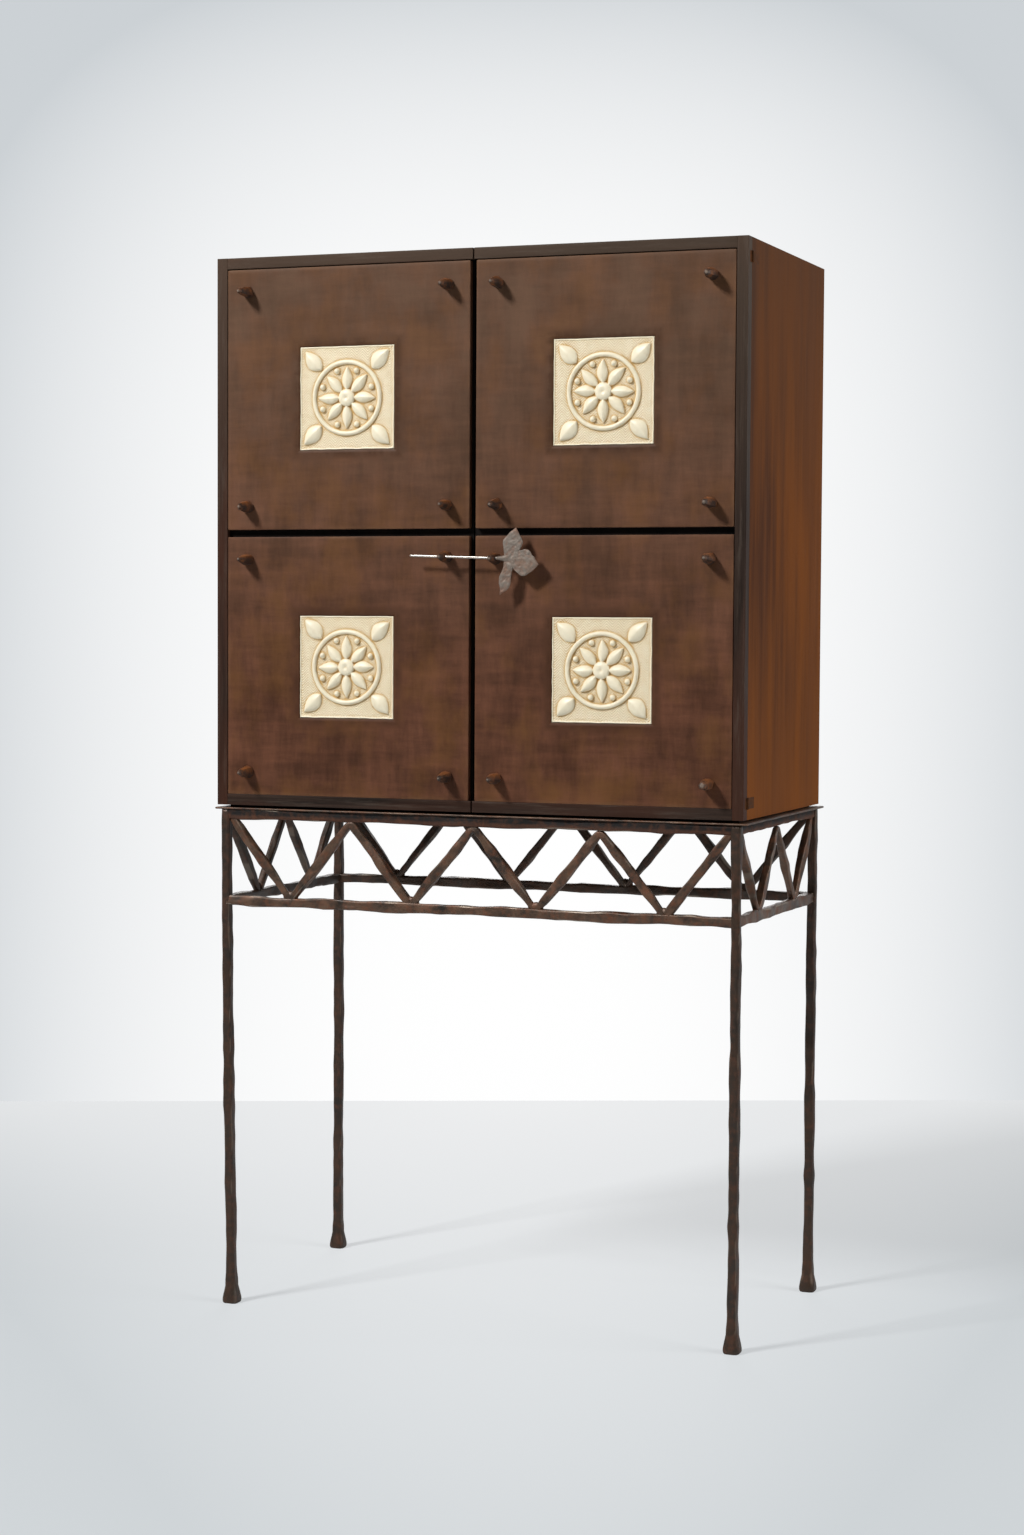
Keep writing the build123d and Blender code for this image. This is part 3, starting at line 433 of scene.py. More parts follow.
class WoodFinish(bpy.types.PropertyGroup):
    """Colours and edge rounding of the cabinet's wood."""

    panel_dark: colour("Panel dark", "Dark strokes of the panels' glaze", "#492D1F")
    panel_mid: colour("Panel", "Mid tone of the panels", "#66402E")
    panel_warm: colour("Panel warm", "Warm clouds in the panels", "#674326")
    # Painted sheen: the panels' paler tone towards the top, for the light from above.
    panel_painted_sheen: colour("Panel bloom", "Paler tone of the wax near the top", "#5F4736")
    # Darker ring round the tiles.
    panel_tile_ring: colour("Panel stroke", "Brush strokes round the tiles", "#3A2415")
    panel_rubbed: colour("Panel rubbed", "Rubbed edges of the panels", "#7E5E46")
    side_dark: colour("Side dark", "Dark grain of the sides", "#3C2010")
    side_mid: colour("Side", "Mid tone of the sides", "#5B3318")
    side_warm: colour("Side warm", "Orange tone of the sides", "#6F3E18")
    # Painted warm light bounced up from the floor, low down on the sides, and the same tone at their back
    # edge.
    side_painted_bounce: colour("Side ember", "Brighter orange low down and at the back edge", "#7A451B")
    # Painted sheen: the sides' paler tone towards the top, for the light from above.
    side_painted_sheen: colour("Side bloom", "Paler tone near the top of the sides", "#4D3526")
    edging_dark: colour("Edging dark", "Blackened edging of the doors", "#221B17")
    edging_mid: colour("Edging", "Lighter streaks of the edging", "#3E3029")
    edging_worn: colour("Edging worn", "Wood that shows through the edging", "#42271C")
    # Painted sheen: the edging's greyer tone towards the top, for the light from above.
    edging_painted_sheen: colour("Edging bloom", "Greyer tone near the top of the edging", "#544539")
    edging_smear: colour("Edging smears", "Waxy smears where the edging is rubbed", "#62574E")
    inside_dark: colour("Inside dark", "Dark grain inside the cabinet", "#563620")
    inside_mid: colour("Inside", "Mid tone inside the cabinet", "#785031")
    inside_warm: colour("Inside warm", "Warm tone inside the cabinet", "#85592F")
    back_mid: colour("Back", "Mid tone of the back panel", "#6A452A")
    back_warm: colour("Back warm", "Warm tone of the back panel", "#70492B")
    edge_radius: length("Edge radius", "Rounding of the boards' edges", 0.8)


class IronFinish(bpy.types.PropertyGroup):
    """Colours and hammering of the stand and the pegs."""

    scale_colour: colour("Forge scale", "Dark grey of the forge scale", "#2D251E")
    # Painted shadow of the plate on the upper rails: the next two colours.
    plate_shadow_black: colour("Soot", "Black scale on the upper rails", "#0F0D0C")
    plate_shadow_brown: colour("Soot brown", "Dark brown on the upper rails", "#1A1411")
    # Painted shade: the brown of the darker copy, on the stand's back and legs.
    shaded_brown: colour("Brown", "Brown of the waxed iron", "#402D1F")
    # Painted light: the lighter brown of the stand's front.
    front_lit_brown: colour("Warm brown", "Brown of the stand's front", "#674D3B")
    rust_colour: colour("Rust", "Rust clouds", "#704128")
    dark_rust: colour("Dark rust", "Rust blooms on the stand's back and legs", "#5A3725")
    # Laid on worn corners, and also as a painted highlight on the bars' tops.
    bare_and_highlight_colour: colour("Bare iron", "Iron left bright where a blow has struck", "#9C8E7E")
    peg_dark: colour("Peg dark", "Dark skin of the pegs", "#211914")
    peg_brown: colour("Peg brown", "Brown skin of the pegs", "#38241A")
    # Also laid on the pegs' upper sides, where it paints them lighter, as lit from above.
    peg_rust: colour("Peg rust", "Rust on the pegs", "#885025")
    # Also a painted highlight at the pegs' tips.
    peg_tip_wear_and_highlight: colour("Peg tip", "Metal rubbed bare at the pegs' tips", "#7D6F62")
    leaf_base: colour("Leaf", "Grey of the pin's leaf", "#7F746A")
    leaf_tint: colour("Leaf rust", "Brown tint of the pin's leaf", "#866550")
    hammer_pitch: length("Hammer pitch", "Distance between the hammer's marks along a bar", 42)
    hammer_depth: length("Hammer depth", "How far a bar swells and narrows", 1.1)


class TileFinish(bpy.types.PropertyGroup):
    """Glaze and tooling of the tiles."""

    high_colour: colour("Glaze", "Ivory glaze on the high forms", "#F1E6CA")
    pool_colour: colour("Glaze pool", "Honey colour where the glaze pools", "#C39C5C")
    ridge_pitch: length("Ridge pitch", "Distance between the tooled ridges", 4.0)
    ridge_depth: length("Ridge depth", "Depth of the tooled ridges", 0.8)


class StudioLight(bpy.types.PropertyGroup):
    """Floor, backdrop and lamps."""

    floor_colour: colour("Floor", "Pale floor behind the cabinet", "#F6F7F8")
    # Painted fall-off: the floor's darker tone away from the cabinet and towards the front corners.
    floor_painted_falloff: colour("Floor edge", "Floor away from the cabinet", "#CFD4D7")
    backdrop_edge: colour("Backdrop", "Pale grey of the backdrop", "#CCD1D5")
    backdrop_glow: colour("Backdrop glow", "White of the backdrop behind the cabinet", "#FFFFFF")
    key_power: power("Key lamp", "Power of the main lamp", 303)
    side_power: power("Side lamp", "Power of the lamp on the right", 82)
    back_power: power("Back lamp", "Power of the weak lamp behind", 45)
    sky: FloatProperty(name="Sky", description="Strength of the light from all round", min=0, default=0.08)


# ---- wood ---------------------------------------------------------------------------
PANEL_ROWS, PANEL_STEPS = 26, (3, 44)
PANEL_EASE = 1.1 * MM
TILE_HALF = 78 * MM
TILE_RECESS = 6 * MM
TILE_PLAY = 0.6 * MM
RECESS_EASE = 0.3 * MM
UPRIGHT, CROSSWISE = (1, 1, 0.02), (0.02, 1, 1)


def panel_grid(low, high, middle_x, middle_z, ease, seed):
    """A panel with the tile's recess: rounded rectangles walked from the middle of the recess,
    up its wall, out over the face, round the eased edge and in over the back. The face moves
    by up to 0.2 mm. Returns the points and two marks: rub at the edge, and a ring round the
    tile, strongest 5 mm out from it, that the panel's material darkens."""
    hole = TILE_HALF + TILE_PLAY
    rim = hole + RECESS_EASE
    out = np.linspace(0, 1, PANEL_ROWS)[1:]
    turn = np.linspace(0, math.pi / 2, 4)[1:]
    halves = (high.x - low.x) / 2, (high.z - low.z) / 2
    reach_x, reach_z = [
        join([0, hole, hole, rim], rim + out * (flat - rim), flat + ease * np.sin(turn), [half, half, 0])
        for half, flat in ((half, half - ease) for half in halves)
    ]
    corner = MM * join([0, 1, 1, 1], 1 + 0.5 * out, [1.5] * 5, [0])
    wall = low.y + np.array([TILE_RECESS, TILE_RECESS, RECESS_EASE, 0])
    eased = low.y + ease * (1 - np.cos(turn))
    depth = column(join(wall, low.y + 0 * out, eased, [high.y - 0.1 * MM, high.y, high.y]))
    x, z = rounded_loops(PANEL_STEPS, column(reach_x), column(reach_z), column(corner))
    wave = dents((x - x.min()) / 0.06, (z - z.min()) / 0.06, seed)
    on_face = column(join([0] * 4, np.sin(math.pi * out), [0] * 6))
    y = depth + 0.2 * MM * wave * on_face
    edge = np.maximum(np.abs(x) - halves[0], np.abs(z) - halves[1])
    rub = smooth(1 + edge / (3 * MM)) * (depth < low.y + 2 * ease)
    # A ring round the tile, 5 mm out and about 8 mm wide, which the material darkens.
    beside = np.maximum(np.abs(x), np.abs(z)) - TILE_HALF
    tile_ring = 0.7 * np.exp(-(((beside - 5 * MM) / (8 * MM)) ** 2))
    return grid_of(middle_x + x, y, middle_z + z), rub, tile_ring


class CABINET_OT_panels(bpy.types.Operator):
    """Lay the four brushed walnut panels on the doors"""

    bl_idname = "cabinet.panels"
    bl_label = "Panels"

    def execute(self, context):
        veneer = panel_material(context.scene.cabinet_wood)
        for index, (door, level) in enumerate((door, level) for door in DOORS for level in LEVELS):
            node = f"{door}_{level}_panel"
            tile_low, tile_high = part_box(f"{door}_{level}_tile")
            middle = (tile_low + tile_high) / 2
            sheet = panel_grid(*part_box(node), middle.x, middle.z, PANEL_EASE, 11 + index)
            name = f"{door}_{level}_veneered_panel"
            lay(node, name, [sheet], veneer, "panel_wood", ("rub", "tile_ring"))
        return {"FINISHED"}


class CABINET_OT_boards(bpy.types.Operator):
    """Stain the carcass, the shelves, the door boards and their dark edging"""

    bl_idname = "cabinet.boards"
    bl_label = "Boards"

    def execute(self, context):
        wood = context.scene.cabinet_wood
        walnut = wood.side_dark, wood.side_mid, wood.side_warm
        brown = wood.inside_dark, wood.inside_mid, wood.inside_warm
        ebony = wood.edging_dark, wood.edging_mid, wood.edging_worn
        rubbed = 0.5, wood.edging_painted_sheen, wood.edging_smear
        changes = wood.side_painted_sheen, None, wood.side_painted_bounce
        side = board_material("waxed_orange_walnut_side", walnut, UPRIGHT, 0.68, *changes)
        crossing = board_material("waxed_orange_walnut_board", walnut, CROSSWISE, 0.65)
        inside = board_material("waxed_walnut_shelf", brown, CROSSWISE, 0.55)
        edging = board_material("ebonised_edging", ebony, UPRIGHT, *rubbed)
        edging_across = board_material("ebonised_edging_across", ebony, CROSSWISE, *rubbed)
        radius = wood.edge_radius
        for nodes, material, slot, width in (
            (("left_side", "right_side"), side, "side_wood", radius),
            (("left_outer_lipping", "right_outer_lipping"), edging, "dark_lipping", radius),
            (("carcass_top", "carcass_floor"), crossing, "carcass_wood", 0.5 * radius),
            (("middle_shelf",), inside, "carcass_wood", 0.5 * radius),
            (("lower_shelf", "upper_shelf"), inside, "carcass_wood", radius),
        ):
            for node in nodes:
                install(eased_copy(node, width), material, node)
        for node in (f"{door}_{edge}_lipping" for door in DOORS for edge in ("top", "bottom")):
            strip = eased_strip(*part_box(node), radius)
            lay(node, f"{node}_strip", [(strip,)], edging_across, "dark_lipping")
        birch = wood.inside_dark, wood.back_mid, wood.back_warm
        black = [linear(tone) for tone in ("#0B0A09", "#15110F", "#1B1512")]
        beech = [linear(tone) for tone in ("#A98258", "#C09C70", "#C8A67A")]
        for name, tones, grain, nodes in (
            ("stained_birch_plywood", birch, UPRIGHT, ("back_panel",)),
            # A near-black board: the door boards, seen in the gaps between the panels, and the plinth.
            ("near_black_board", black, UPRIGHT, ("left_door_board", "right_door_board", "plinth_board")),
            ("beech_dowel", beech, CROSSWISE, ("carcass_dowels",)),
        ):
            dress(board_material(name, tones, grain, 0.6), *nodes)
        return {"FINISHED"}


# ---- tiles --------------------------------------------------------------------------
TILE_CELLS = 260
TILE_RELIEF = 7.0
TILE_RIM = 2.5
INNER_LEAF = 36, 18, 6.2
CORNER_LEAF = 39, 25, 6.4
BEAD_PLACE, BEAD_RADIUS, BEAD_HEIGHT = 43.5, 4.6, 5.4
RING_PLACE, RING_RADIUS = 54, 3.6
BOSS_RADIUS, BOSS_HEIGHT = 13.5, 6.9


def bump_height(distance, radius):
    """A round form's height as a share of its full one: sqrt(1 - (distance / radius) ** 2)."""
    return np.sqrt(np.clip(1 - (distance / radius) ** 2, 0, 1))


def leaf_height(x, y, length, width, height, bend):
    """A pointed leaf from the origin along +x, in millimetres: its middle line swings aside by
    bend * sin(pi * t) at the share t of its length, its half width is w = width / 2 *
    sin(pi * t ** 0.85) ** 0.8, and it falls from a keel as height * (1 - |y / w| ** 1.5)."""
    t = np.clip(x / length, 0, 1)
    half = width / 2 * np.sin(math.pi * t**0.85) ** 0.8 + 1e-6
    aside = np.abs(y - bend * np.sin(math.pi * t)) / half
    keel = np.clip(1 - aside**1.5, 0, 1) ** 0.75 * np.sin(math.pi * np.clip(0.06 + 0.9 * t, 0, 1)) ** 0.5
    return height * keel * ((x > 0) & (x < length))


def tile_relief(x, z, seed, ridge_pitch, ridge_depth):
    """Height in millimetres above a tile's ground: eight leaves round a boss with beads between
    them, a ring, and a leaf in each corner, each the highest of what overlaps; and the depth of
    the herringbone tooled into the ground between them."""
    rng = np.random.default_rng(seed)
    radius = np.hypot(x, z)
    top = np.zeros_like(x)
    for index in range(12):
        corner = index >= 8
        angle = math.radians((45 + 90 * index if corner else 45 * index) + rng.uniform(-1.5, 1.5))
        along = x * math.cos(angle) + z * math.sin(angle) - (60 if corner else 11)
        across = z * math.cos(angle) - x * math.sin(angle)
        shape = [size * rng.uniform(0.95, 1.02) for size in (CORNER_LEAF if corner else INNER_LEAF)]
        top = np.maximum(top, leaf_height(along, across, *shape, rng.uniform(-2, 2)))
        if not corner:
            angle += TURN / 16
            bead = np.hypot(x - BEAD_PLACE * math.cos(angle), z - BEAD_PLACE * math.sin(angle))
            top = np.maximum(top, BEAD_HEIGHT * bump_height(bead, BEAD_RADIUS))
    uneven = 1 + 0.1 * np.sin(7 * np.arctan2(z, x) + seed)
    top = np.maximum(top, RING_RADIUS * bump_height(radius - RING_PLACE, RING_RADIUS) * uneven)
    dimple = 2.2 * np.exp(-((radius / 4) ** 2))
    top = np.maximum(top, BOSS_HEIGHT * bump_height(radius, BOSS_RADIUS) ** 0.8 - dimple)
    zigzag = np.abs((x + 200) % 18 - 9)
    ridge = np.abs(((z + zigzag + 200) / (ridge_pitch / MM)) % 1 - 0.5) * 2
    return top, (ridge_depth / MM) * smooth(ridge * 1.4 - 0.2) * (top < 0.2)


def blurred(field, width):
    """A field smoothed both ways with a bell of the given number of cells."""
    bell = np.hanning(width) / np.hanning(width).sum()
    half = width // 2
    for axis in (0, 1):
        padded = np.pad(field, half, mode="edge")
        field = np.apply_along_axis(np.convolve, axis, padded, bell, mode="same")[half:-half, half:-half]
    return field


def tile_grid(low, high, seed, ridge_pitch, ridge_depth):
    """A tile: its face on a square grid, with two more rings of points that go down its sides
    and in over its back to one point. Returns the points and the mark depth, 0 high to 1 low."""
    half = (high.x - low.x) / 2 / MM
    line = np.linspace(-half, half, TILE_CELLS + 1)
    z, x = np.meshgrid(line, line, indexing="ij")
    top, groove = tile_relief(x, z, seed, ridge_pitch, ridge_depth)
    wobble = 0.5 * dents((x + half) / 12, (z + half) / 12, seed + 50)
    from_edge = half - np.maximum(np.abs(x), np.abs(z)) + wobble
    rim = 1.3 * smooth((TILE_RIM - from_edge) / 1.6)
    wander = 0.3 * dents((x + half) / 19, (z + half) / 19, seed + 51)
    worn_edge = 1.6 * smooth(1 - from_edge / 1.1)
    height = np.maximum(top, rim) - groove * (from_edge > TILE_RIM) + wander - worn_edge
    height = np.minimum(blurred(height, 5), TILE_RELIEF - 0.05)
    hollow = (blurred(height, 31) - height) * 0.28 + (blurred(height, 7) - height) * 0.8
    depth = smooth(0.3 + hollow - height * 0.05)
    y = low.y + (TILE_RELIEF - height) * MM
    x, z, y, depth = [np.pad(a, 2, mode="edge") for a in (x, z, y, depth)]
    y[np.pad(np.zeros((TILE_CELLS + 1,) * 2), 2, constant_values=1) > 0] = high.y
    last = np.pad(np.zeros((TILE_CELLS + 3,) * 2), 1, constant_values=1) > 0
    x[last], z[last] = 0, 0
    return grid_of((low.x + high.x) / 2 + x * MM, y, (low.z + high.z) / 2 + z * MM), depth


class CABINET_OT_tiles(bpy.types.Operator):
    """Set the four glazed tiles into the panels"""

    bl_idname = "cabinet.tiles"
    bl_label = "Tiles"

    def execute(self, context):
        glaze = context.scene.cabinet_tiles
        stoneware = tile_material(glaze)
        for index, (door, level) in enumerate((door, level) for door in DOORS for level in LEVELS):
            node = f"{door}_{level}_tile"
            sheet = tile_grid(*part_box(node), 31 + index, glaze.ridge_pitch, glaze.ridge_depth)
            name = f"{door}_{level}_glazed_tile"
            lay(node, name, [sheet], stoneware, "ivory_ceramic", ("depth",), closed=False)
        return {"FINISHED"}


# ---- pegs and the locking pin -------------------------------------------------------
PEG_REACH = 35.0
PEG_BELLY = 10.0
PEG_SIDES = 7
PEG_INSET = 35 * MM
PEG_NEAR, PEG_FAR = 40 * MM, 372 * MM
PEG_TIPS = {"lower": 2.6, "upper": 3.4}
EYE_TIP = 3.6
BLUNT_TIPS = {
    ("right", "upper", 1, 1): 5.2,
    ("right", "upper", 1, 0): 4.6,
    ("right", "lower", 1, 1): 3.6,
    ("right", "lower", 1, 0): 7.4,
}
EYE_PLACE = ("lower", 0, 1)
EYE_RADIUS = 2.4 * MM
ROD_FALL = math.radians(1.65)
ROD_STANDOFF = 21 * MM
ROD_WAY = np.array([math.cos(ROD_FALL), 0, -math.sin(ROD_FALL)])
LEAF_MIDDLE = np.array([20.0, -2.0])
LEAF_THICKNESS = 3.0


def peg_grid(x, z, face, seed, tip):
    """A thorn of cut iron: seven-sided loops from behind the panel's face to the tip, whose
    corners stay in line, so that the facets run its whole length. The tip leans by up to 0.8 mm.
    Returns the points and two marks: one lightens the tip, as wear and as a painted highlight,
    and one lays rust on the upper side, which paints that side lighter, as lit from above."""
    rng = np.random.default_rng(seed)
    out = column([-2, -2, 0, 4, 10, 17, 24, 30, 33.5, 34.7, 35, 35])
    share = out / PEG_REACH
    taper = column([0, 0.94, 0.97, 1, 0.94, 0.78, 0.54, 0.28, 0.1, 0.02, 0, 0])
    radius = tip * np.sqrt(np.clip(1.04 - share**12, 0, 1)) + (PEG_BELLY - tip) * taper
    radius[[0, -1]] = 0
    spread = rng.uniform(-9, 9, PEG_SIDES) + rng.uniform(0, 50)
    angle = np.radians(np.arange(PEG_SIDES) * 360 / PEG_SIDES + spread)
    cut = rng.uniform(0.85, 1.0, PEG_SIDES) + 0.06 * rng.uniform(-1, 0.6, (len(out), PEG_SIDES))
    lean_x, lean_z = rng.uniform(-0.8, 0.8, 2)
    lean = np.clip(share, 0, 1) ** 1.6
    px = radius * np.cos(angle) * cut + lean_x * lean
    pz = radius * np.sin(angle) * cut + lean_z * lean
    # The tip lightened: worn metal, and a painted highlight.
    wear_and_highlight = 0.8 * smooth((share - 0.95) / 0.05)
    # Rust laid on the upper side only: it paints the side that the light falls on lighter.
    rust_and_painted_light = 0.75 * smooth((pz / PEG_BELLY - 0.1) / 0.6) * smooth(1.6 - np.abs(share - 0.4) * 3)
    return grid_of(x + px * MM, face - out * MM, z + pz * MM), wear_and_highlight, rust_and_painted_light


def rod_grid(start, way, length, radius):
    """A drawn rod: circles of 20 points along a line, drawn in by a quarter circle at both ends."""
    turn = np.linspace(0, math.pi / 2, 4)
    reach, end = radius * 0.6 * (1 - np.cos(turn)), radius * (0.4 + 0.6 * np.sin(turn))
    shaft = np.linspace(radius, length - radius, 60)[1:-1]
    along = column(join([0], reach, shaft, length - reach[::-1], [length]))
    size = column(join([0], end, [radius] * len(shaft), end[::-1], [0]))
    angle = np.linspace(0, TURN, 20, endpoint=False)
    forward = np.array(way, float) / np.linalg.norm(way)
    up = np.cross(forward, (0, 1, 0))
    x, y, z = [start[axis] + along * forward[axis] + size * np.sin(angle) * up[axis] for axis in range(3)]
    return grid_of(x, y + size * np.cos(angle), z)


def drilled(piece, *hole):
    """Cuts the pin's eye through a piece, and applies the cut."""
    tool = skin_over("eye_drill", [(rod_grid(*hole),)])
    cut = piece.modifiers.new("eye", "BOOLEAN")
    cut.object = tool
    cut.solver = "EXACT"
    bpy.context.view_layer.update()
    mesh = bpy.data.meshes.new_from_object(piece.evaluated_get(bpy.context.evaluated_depsgraph_get()))
    piece.modifiers.clear()
    piece.data = mesh
    bpy.data.objects.remove(tool)


class CABINET_OT_pegs(bpy.types.Operator):
    """Drive the cut iron pegs into the panels"""

    bl_idname = "cabinet.pegs"
    bl_label = "Pegs"

    def execute(self, context):
        iron = context.scene.cabinet_iron
        tones = iron.peg_dark, iron.peg_brown, iron.peg_rust
        skin = iron_material("cut_iron_peg", *tones, 0.55, 0.1, iron.peg_tip_wear_and_highlight)
        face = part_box("left_upper_panel")[0].y
        marks = "wear_and_highlight", "rust_and_painted_light"
        seed = 71
        for door, side in DOORS.items():
            near, pegs = PEG_NEAR * side, []
            for level in LEVELS:
                low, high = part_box(f"{door}_{level}_panel")
                for far, x in enumerate((near, PEG_FAR * side)):
                    for top, z in enumerate((low.z + PEG_INSET, high.z - PEG_INSET)):
                        seed += 1
                        if (level, far, top) != EYE_PLACE:
                            tip = BLUNT_TIPS.get((door, level, far, top), PEG_TIPS[level])
                            pegs.append(peg_grid(x, z, face, seed, tip))
            lay(f"{door}_pegs", f"{door}_cut_pegs", pegs, skin, "peg_iron", marks, shade_smooth=False)
            node = f"{door}_eye_peg"
            low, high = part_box(node)
            middle = (low.z + high.z) / 2
            points, wear_and_highlight, rust_and_painted_light = peg_grid(near, middle, face, seed + 100, EYE_TIP)
            eye = skin_over(f"{door}_cut_eye_peg", [(points, wear_and_highlight, 0.6 * rust_and_painted_light)], marks, shade_smooth=False)
            start = near - 0.03, face - ROD_STANDOFF, middle + 0.03 * math.tan(ROD_FALL)
            drilled(eye, start, ROD_WAY, 0.06, EYE_RADIUS)
            install(eye, skin, node)
        return {"FINISHED"}


def through(points, count):
    """A smooth line through points: between two of them, the cubic whose slope at each is half
    the way from the point before to the point after."""
    points = np.array(points, float)
    padded = np.vstack([2 * points[0] - points[1], points, 2 * points[-1] - points[-2]])
    place = np.linspace(0, len(points) - 1, count)
    index = np.minimum(place.astype(int), len(points) - 2)
    f = column(place - index)
    before, here, after, beyond = [padded[index + step] for step in range(4)]
    bend = 2 * before - 5 * here + 4 * after - beyond + f * (3 * (here - after) + beyond - before)
    return here + 0.5 * f * (after - before + f * bend)


def leaf_outline():
    """The three pointed lobes of the pin's leaf, in millimetres from the rod's end."""
    top_tip, right_tip, bottom_tip = (29, 46.5), (66, -7.5), (6, -55.5)
    stem_top, stem_bottom = (11.5, 4), (11, -4)
    upper_notch, lower_notch = (35.5, 12.5), (26, -14)
    runs = (
        (stem_top, (10, 14), (9, 26), (16.5, 36), top_tip),
        (top_tip, (37, 32), (40, 24), upper_notch),
        (upper_notch, (47.5, 14), (58, 4), right_tip),
        (right_tip, (54, -19), (41.5, -25.5), (31, -19.5), lower_notch),
        (lower_notch, (24, -22.5), (21, -42), bottom_tip),
        (bottom_tip, (6, -45), (4, -30), (10, -15), stem_bottom),
        (stem_bottom, stem_top),
    )
    return join(*[through(run, 30 if len(run) > 2 else 6)[:-1] for run in runs])


def leaf_grid(origin, seed):
    """The leaf: rings from the middle of its front out to the outline, round the edge and in
    over its back. Half thickness 1.5 mm * (1 - 0.3 t ** 2), rounded in the last eighth, with
    hammer dents 5 mm apart and about 0.5 mm deep. Returns the points and the mark rust."""
    outline = leaf_outline()
    t = join(np.linspace(0, 0.95, 44), [0.97, 0.99, 1.0])
    share = column(join(t, t[::-1][1:]))
    side = column(np.repeat([-1, 0, 1], (len(t) - 1, 1, len(t) - 1)))
    ragged = 1 + 0.02 * ripple(np.arange(len(outline)), 3, seed + 2)
    x, z = [LEAF_MIDDLE[axis] + share * (outline[:, axis] - LEAF_MIDDLE[axis]) * ragged for axis in (0, 1)]
    rim = bump_height(np.clip(share - 0.86, 0, 1), 0.14)
    fade = np.clip((1 - share) / 0.06, 0, 1)
    front = dents((x + 20) / 5, (z + 70) / 5, seed) + 0.5 * dents((x + 20) / 2.6, (z + 70) / 2.6, seed + 1)
    half = 0.5 * LEAF_THICKNESS * (1 - 0.3 * share**2) * rim + 0.46 * front * fade
    y = side * half + 0.54 * np.sin((x - 10) / 26) * np.sin((z + 6) / 30)
    rust = 0.7 * smooth((np.hypot(x - LEAF_MIDDLE[0], z - LEAF_MIDDLE[1]) - 38) / 12) * (0.6 + 0.4 * front)
    rust = np.clip(rust + 0.25 * smooth((-front - 0.05) / 0.5), 0, 1)
    c, s = ROD_WAY[0], -ROD_WAY[2]
    points = grid_of(origin[0] + (x * c + z * s) * MM, origin[1] + y * MM, origin[2] + (z * c - x * s) * MM)
    return points, rust


def dented_ring(along, seed):
    """16 bearings round a lump, and how much dents swell it there: 1 + 0.08 * dents."""
    turn = np.linspace(0, TURN, 16, endpoint=False)
    return turn, 1 + 0.08 * dents(turn / TURN * 6, along, seed, 6)


def neck_grid(end):
    """The rod's end, forged out to the leaf: ellipses along the rod that grow tall and flat."""
    along = column([0, 0, 1, 4, 8, 11, 14, 18, 23, 23]) * MM
    deep = column([0, 2.1, 2.6, 2.9, 3.1, 2.9, 2.4, 1.7, 0.8, 0]) * MM
    tall = column([0, 2.1, 2.6, 3.0, 3.6, 4.3, 5.4, 6.5, 6, 0]) * MM
    turn, swell = dented_ring(along / (3 * MM), 9)
    up = np.cross(ROD_WAY, (0, 1, 0))
    tall, deep = tall * np.sin(turn) * swell, deep * np.cos(turn) * swell
    x, y, z = [end[axis] + along * ROD_WAY[axis] + tall * up[axis] for axis in range(3)]
    return grid_of(x, y + deep, z)


class CABINET_OT_lock_pin(bpy.types.Operator):
    """Make the locking pin: its bright rod and its hammered leaf"""

    bl_idname = "cabinet.lock_pin"
    bl_label = "Locking pin"

    def execute(self, context):
        iron = context.scene.cabinet_iron
        low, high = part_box("lock_pin_rod")
        radius, depth = (high.y - low.y) / 2, (low.y + high.y) / 2
        start = np.array([low.x - radius * ROD_WAY[2], depth, high.z - radius * ROD_WAY[0]])
        length = (high.x - low.x) / ROD_WAY[0] - 2 * radius * math.tan(ROD_FALL)
        bright = steel_material("bright_drawn_steel", linear("#BDB6AE"), linear("#8F8274"), 0.32)
        rod = rod_grid(start, ROD_WAY, length, radius)
        lay("lock_pin_rod", "lock_pin_drawn_rod", [(rod,)], bright, "rod_steel")
        end = start + ROD_WAY * (length - 10 * MM)
        tones = iron.leaf_base, iron.leaf_tint
        hammered = steel_material("hammered_grey_steel", *tones, 0.62, (170, 170, 170), 0.5, 1.6 * MM)
        sheets = [leaf_grid(end, 21), (neck_grid(end), 0)]
        lay("lock_pin_leaf", "lock_pin_hammered_leaf", sheets, hammered, "leaf_steel", ("rust",))
        return {"FINISHED"}


# ---- stand --------------------------------------------------------------------------
def hammering(along, pitch, seed):
    """How blows swell a bar, in -1..1: 0.6 of a ripple, and 0.4 of hollows that meet in crests,
    1 - 2 |ripple|."""
    hollows = 1 - 2 * np.abs(ripple(along, pitch * 1.1, seed + 1))
    return 0.6 * ripple(along, pitch, seed) + 0.4 * hollows


